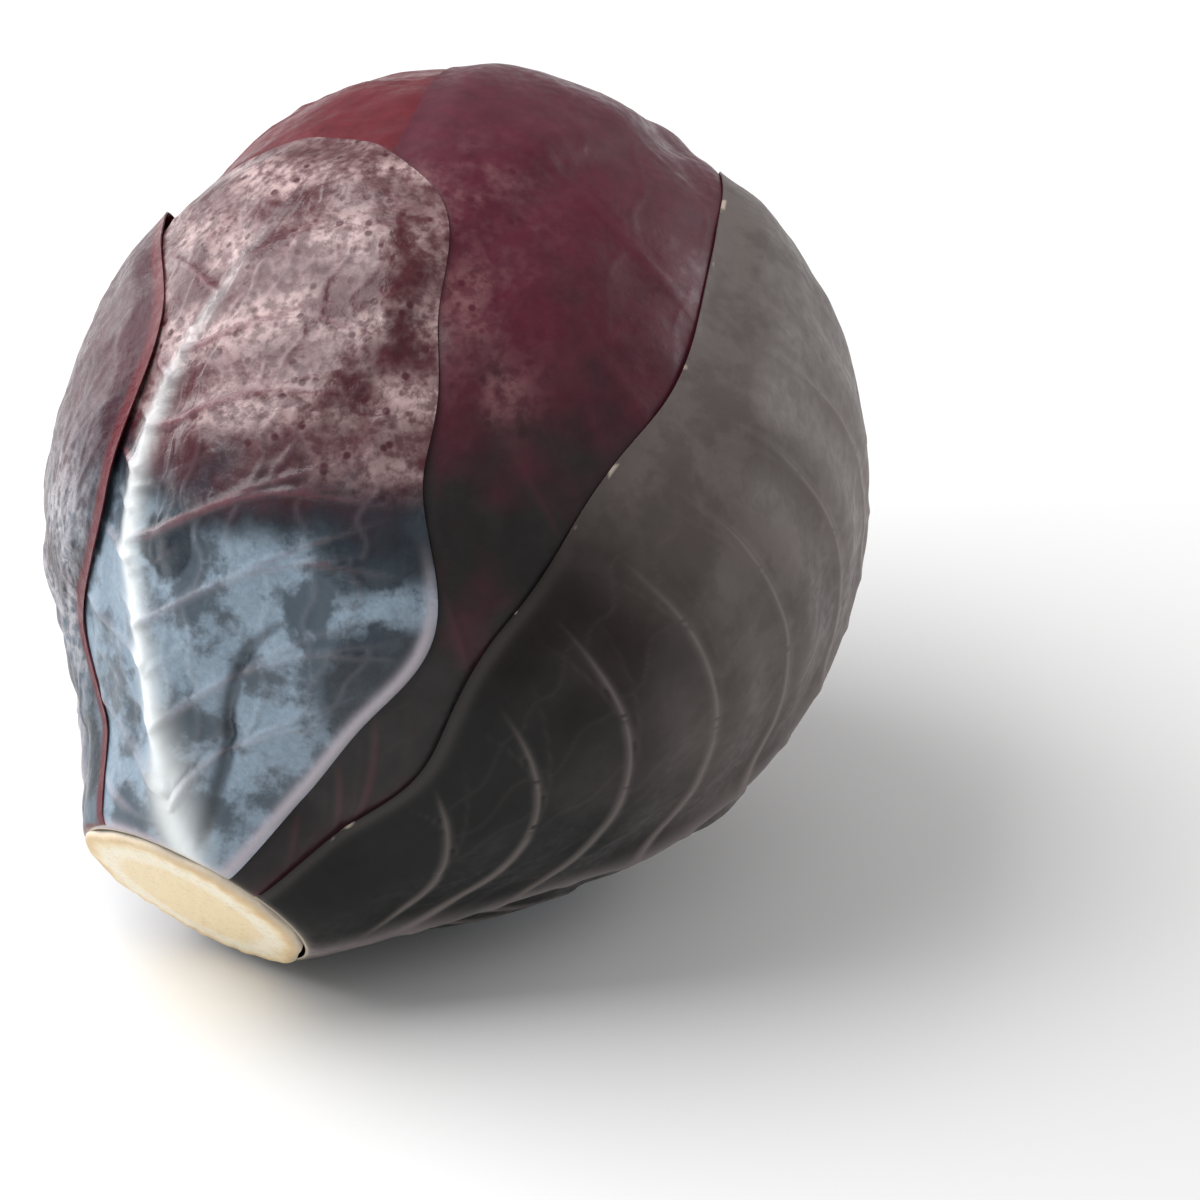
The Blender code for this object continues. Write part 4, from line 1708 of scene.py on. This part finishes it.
@dataclass
class Studio:
    """The floor, the lights and the camera."""

    middle: Vector
    elevation: float = 32.0
    frame_width: float = 0.234
    right_of_head: float = 0.0283
    below_head: float = 0.0215
    lens: float = 300.0
    floor_side: float = 6.0
    sky: float = 0.42
    lights: tuple[SoftBox, ...] = (
        SoftBox("key_upper_left", (-0.55, 0.05, 0.70), 0.90, 11.0),
        SoftBox("rim_left", (-0.72, 0.60, 0.12), 0.50, 2.2),
        SoftBox("fill_right", (0.85, 0.40, 0.25), 0.60, 3.5),
    )

    def build(self) -> None:
        """Sets the stage."""
        self.add_floor()
        self.add_camera()
        for light in self.lights:
            light.build(self.middle)
        world = bpy.data.worlds.new("soft_sky")
        world.use_nodes = True
        world.node_tree.nodes["Background"].inputs["Color"].default_value = WHITE
        world.node_tree.nodes["Background"].inputs["Strength"].default_value = self.sky
        bpy.context.scene.world = world
        bpy.context.scene.view_settings.view_transform = "Standard"

    def add_floor(self) -> None:
        """A plain pale floor."""
        half = 0.5 * self.floor_side
        corners = np.array([(-half, -half, 0.0), (half, -half, 0.0), (half, half, 0.0), (-half, half, 0.0)])
        floor = mesh_object("floor", corners, [[0, 1, 2, 3]])
        made, _, shader, _ = new_material("pale_floor")
        shader.inputs["Base Color"].default_value = (0.86, 0.86, 0.86, 1.0)
        shader.inputs["Roughness"].default_value = 0.7
        floor.data.materials.append(made)

    def add_camera(self) -> None:
        """A distant camera that looks down on the head from the photograph's side."""
        rise = math.radians(self.elevation)
        look = Vector((0.0, math.cos(rise), -math.sin(rise)))
        right = Vector((1.0, 0.0, 0.0))
        up = right.cross(look)
        data = bpy.data.cameras.new("camera")
        data.lens = self.lens
        data.sensor_width = 36.0
        data.clip_end = 50.0
        camera = bpy.data.objects.new("camera", data)
        target = self.middle + right * self.right_of_head - up * self.below_head
        distance = self.frame_width * self.lens / data.sensor_width
        axes = Matrix((right, up, -look)).transposed().to_4x4()
        camera.matrix_world = Matrix.Translation(target - look * distance) @ axes
        bpy.context.scene.collection.objects.link(camera)
        bpy.context.scene.camera = camera


class Finish(Enum):
    """The finishes of the leaves."""

    # Crown leaf: its near-black base is painted shade and its pale flecks are painted highlight.
    CROWN = LeafFinish(
        "crown_leaf", PAINTED_SHADE_BLACK, CROWN_RED, CROWN_VEIN, GREY_BLOOM_AND_SHEEN, 0.02, 0.02, 0.37, peel=0.14, coat=0.05,
        veined=0.30, edge=0.0, speckle=0.60, specular=0.30, turn_low=0.24, turn_high=0.56,
        rib=(0.16, 0.04, 0.06, 1.0), painted_highlight=(0.26, 0.12, 0.125, 1.0),
        highlight_area=(Spot(0.50, -45.0, 0.011), Spot(0.59, -50.0, 0.012), Spot(0.43, -36.0, 0.007)),
    )
    RED = LeafFinish(
        "red_leaf", PAINTED_SHADE_BLACK, BRIGHT_RED, RED_VEIN, GREY_BLOOM_AND_SHEEN, 0.03, 0.02, 0.36, peel=0.14, coat=0.06,
        veined=0.35, edge=0.0, speckle=0.0, specular=0.34, rib=RED_VEIN,
    )
    # Front leaf: its near-white midrib crest and pale lip are partly painted highlight, its pale flecks are
    # painted highlight, and the dark bands beside its ribs and its fold are painted shade.
    FRONT = LeafFinish(
        "front_leaf", DARK_TEAL, (0.064, 0.008, 0.013, 1.0), PALE_VIOLET, BLUE_BLOOM, 1.0, 0.03, 0.27,
        peel=0.40, coat=0.12, veined=0.6, vein_at_tip=0.45, edge=0.9, speckle=0.92, specular=0.38,
        haze=0.25, turn_low=0.42, turn_high=0.54, wander=0.35, bloom_low=0.36, bloom_high=0.46,
        groove_shade=0.8, ridge=0.7, rib=(0.80, 0.84, 0.85, 1.0), painted_highlight=(0.54, 0.385, 0.38, 1.0),
        rubbed_and_shaded=(Spot(0.36, 9.5, 0.0065), Spot(0.42, 41.0, 0.013), Spot(0.19, 42.0, 0.013)),
    )
    # Right leaf: its grey bloom is mostly painted sheen from the light at the right, its near-black base,
    # bare spot and dark bands beside the veins are painted shade, and its margin glints are painted
    # highlight.
    RIGHT = LeafFinish(
        "right_leaf", (0.003, 0.003, 0.003, 1.0), (0.027, 0.015, 0.013, 1.0), (0.34, 0.29, 0.27, 1.0),
        GREY_BLOOM_AND_SHEEN, 0.0, 0.55, 0.34, peel=0.10, coat=0.06, veined=0.46, vein_at_tip=2.0, edge=0.10,
        speckle=0.0, glint=0.6, specular=0.22, haze=0.70, bloom_high=0.56, wander=0.35, groove_shade=0.35,
        ridge=0.25, rib=(0.20, 0.17, 0.17, 1.0), margin=(0.012, 0.009, 0.009, 1.0), ragged=0.35, soft=0.40,
        rubbed_and_shaded=(Spot(0.25, -47.0, 0.028),),
    )
    # Left leaf: its near-white flecks are painted highlight, and its dark red margin band is partly painted
    # shade.
    LEFT = LeafFinish(
        "left_leaf", DARK_TEAL, (0.050, 0.006, 0.014, 1.0), PALE_VIOLET, BLUE_BLOOM, 0.40, 0.03, 0.26,
        peel=0.35, coat=0.02, edge=0.0, speckle=0.85, specular=0.22, bloom_high=0.55, dim=0.0,
        margin_width=3.8, painted_highlight=(0.56, 0.53, 0.56, 1.0),
        highlight_area=(Spot(0.30, 28.0, 0.020), Spot(0.45, 0.0, 0.030)),
    )
    BACK = LeafFinish("back_leaf", DARK_TEAL, BURGUNDY, DULL_PINK, BLUE_BLOOM, 0.70, 0.06, 0.30, speckle=0.3)


# The fold of the front leaf in its own coordinates, along and across.
FRONT_CREASE = (
    (0.030, 0.680), (0.048, 0.625), (0.098, 0.467), (0.205, 0.342), (0.251, 0.400), (0.284, 0.467),
    (0.304, 0.580),
)

# The front leaf's midrib: share of the way along, degrees to the right of the leaf's middle line.
FRONT_RIB = (
    (0.0, 11.4), (0.08, 8.6), (0.16, 6.6), (0.25, 4.6), (0.33, 2.4), (0.42, 1.1), (0.50, 1.0), (0.65, 4.0),
    (1.0, 8.0),
)

INNER_VEINS = Venation(9, 40.0, 20.0, 1.0, 180, 90, crest=0.0)
FRONT_VEINS = Venation(
    8, 70.0, 5.0, 0.77, 220, 110, 125.0, 0.20, relief=1.3, pebble=3.4 * MM, creases=(FRONT_CREASE,),
    rib_path=FRONT_RIB,
)
RIGHT_VEINS = Venation(
    9, 34.0, 10.0, 0.85, 230, 116, 122.0, 0.22, bend=0.6, relief=0.5, uneven=0.4, forks=0.4, sway=0.003,
    width=0.95, vein_end=0.5, puff=3.2,
)

# Innermost first: name, slot, azimuth, middle, reaches from the left flank over the tip to the right flank,
# finish and veins. All angles are degrees seen from the head's middle.
LEAVES = (
    (
        "inner_leaf_back", Slot.INNER_LEAF, 120.0, 95.0, (80, 80, 80, 80, 83, 85, 82, 79, 80, 82, 82),
        Finish.RED, INNER_VEINS,
    ),
    (
        "inner_leaf_left", Slot.INNER_LEAF, -102.0, 95.0, (80, 80, 80, 80, 84, 86, 84, 81, 80, 82, 82),
        Finish.RED, INNER_VEINS,
    ),
    (
        "inner_leaf_crown", Slot.INNER_LEAF, 35.0, 95.0, (80, 76, 72, 71, 91, 98, 92, 82, 74, 66, 62),
        Finish.CROWN, Venation(9, 40.0, 20.0, 1.0, 230, 116, relief=0.5, uneven=0.6, crest=0.0),
    ),
    (
        "outer_leaf_back", Slot.OUTER_LEAF, 184.0, 85.0, (80, 80, 76, 66, 62, 66, 64, 60, 62, 66, 68),
        Finish.BACK, Venation(8, 44.0, 18.0, 0.9, 200, 100),
    ),
    (
        "outer_leaf_front", Slot.OUTER_LEAF, -50.0, 70.0, (55, 48, 42, 42, 44, 47, 50, 45, 44, 55, 59),
        Finish.FRONT, FRONT_VEINS,
    ),
    (
        "outer_leaf_right", Slot.OUTER_LEAF, 85.0, 88.0, (70, 68, 65, 66, 76, 80, 74, 64, 54, 46, 44),
        Finish.RIGHT, RIGHT_VEINS,
    ),
    (
        "outer_leaf_left", Slot.OUTER_LEAF, -118.0, 75.0, (50, 46, 45, 42, 37, 34, 36, 48, 61, 59, 53),
        Finish.LEFT, Venation(7, 55.0, 12.0, 0.8, 180, 90, 115.0, 0.25),
    ),
)


def grown_leaves(shape: HeadShape, sizes: BladeSizes) -> list[Leaf]:
    """Every leaf of the head, innermost first.

    Args:
        shape: The head's shape.
        sizes: The blades' sizes.

    Returns:
        The leaves.
    """
    leaves = []
    for order, (name, slot, azimuth, middle, reaches, finish, venation) in enumerate(LEAVES):
        leaves.append(
            Leaf(name, slot, azimuth, middle, reaches, finish.value, venation, shape, sizes, order=order)
        )
    return leaves


def main() -> None:
    """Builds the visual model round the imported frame."""
    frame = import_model()
    shape, sizes = HeadShape(), BladeSizes()
    placement = Placement.on_frame(shape, frame["nodes"]["stem"])
    LOG.info("the middle of the head is at %s mm", [round(c / MM, 2) for c in placement.middle])

    Foliage(Layers(grown_leaves(shape, sizes), shape, sizes), placement).build()
    CutStem(shape, placement).build()
    heart = frame["nodes"]["heart"]
    for slot in heart.material_slots:
        slot.material = heart_material()
    LOG.info("heart: new finish")
    Studio(placement.middle).build()

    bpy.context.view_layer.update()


if __name__ == "__main__":
    main()
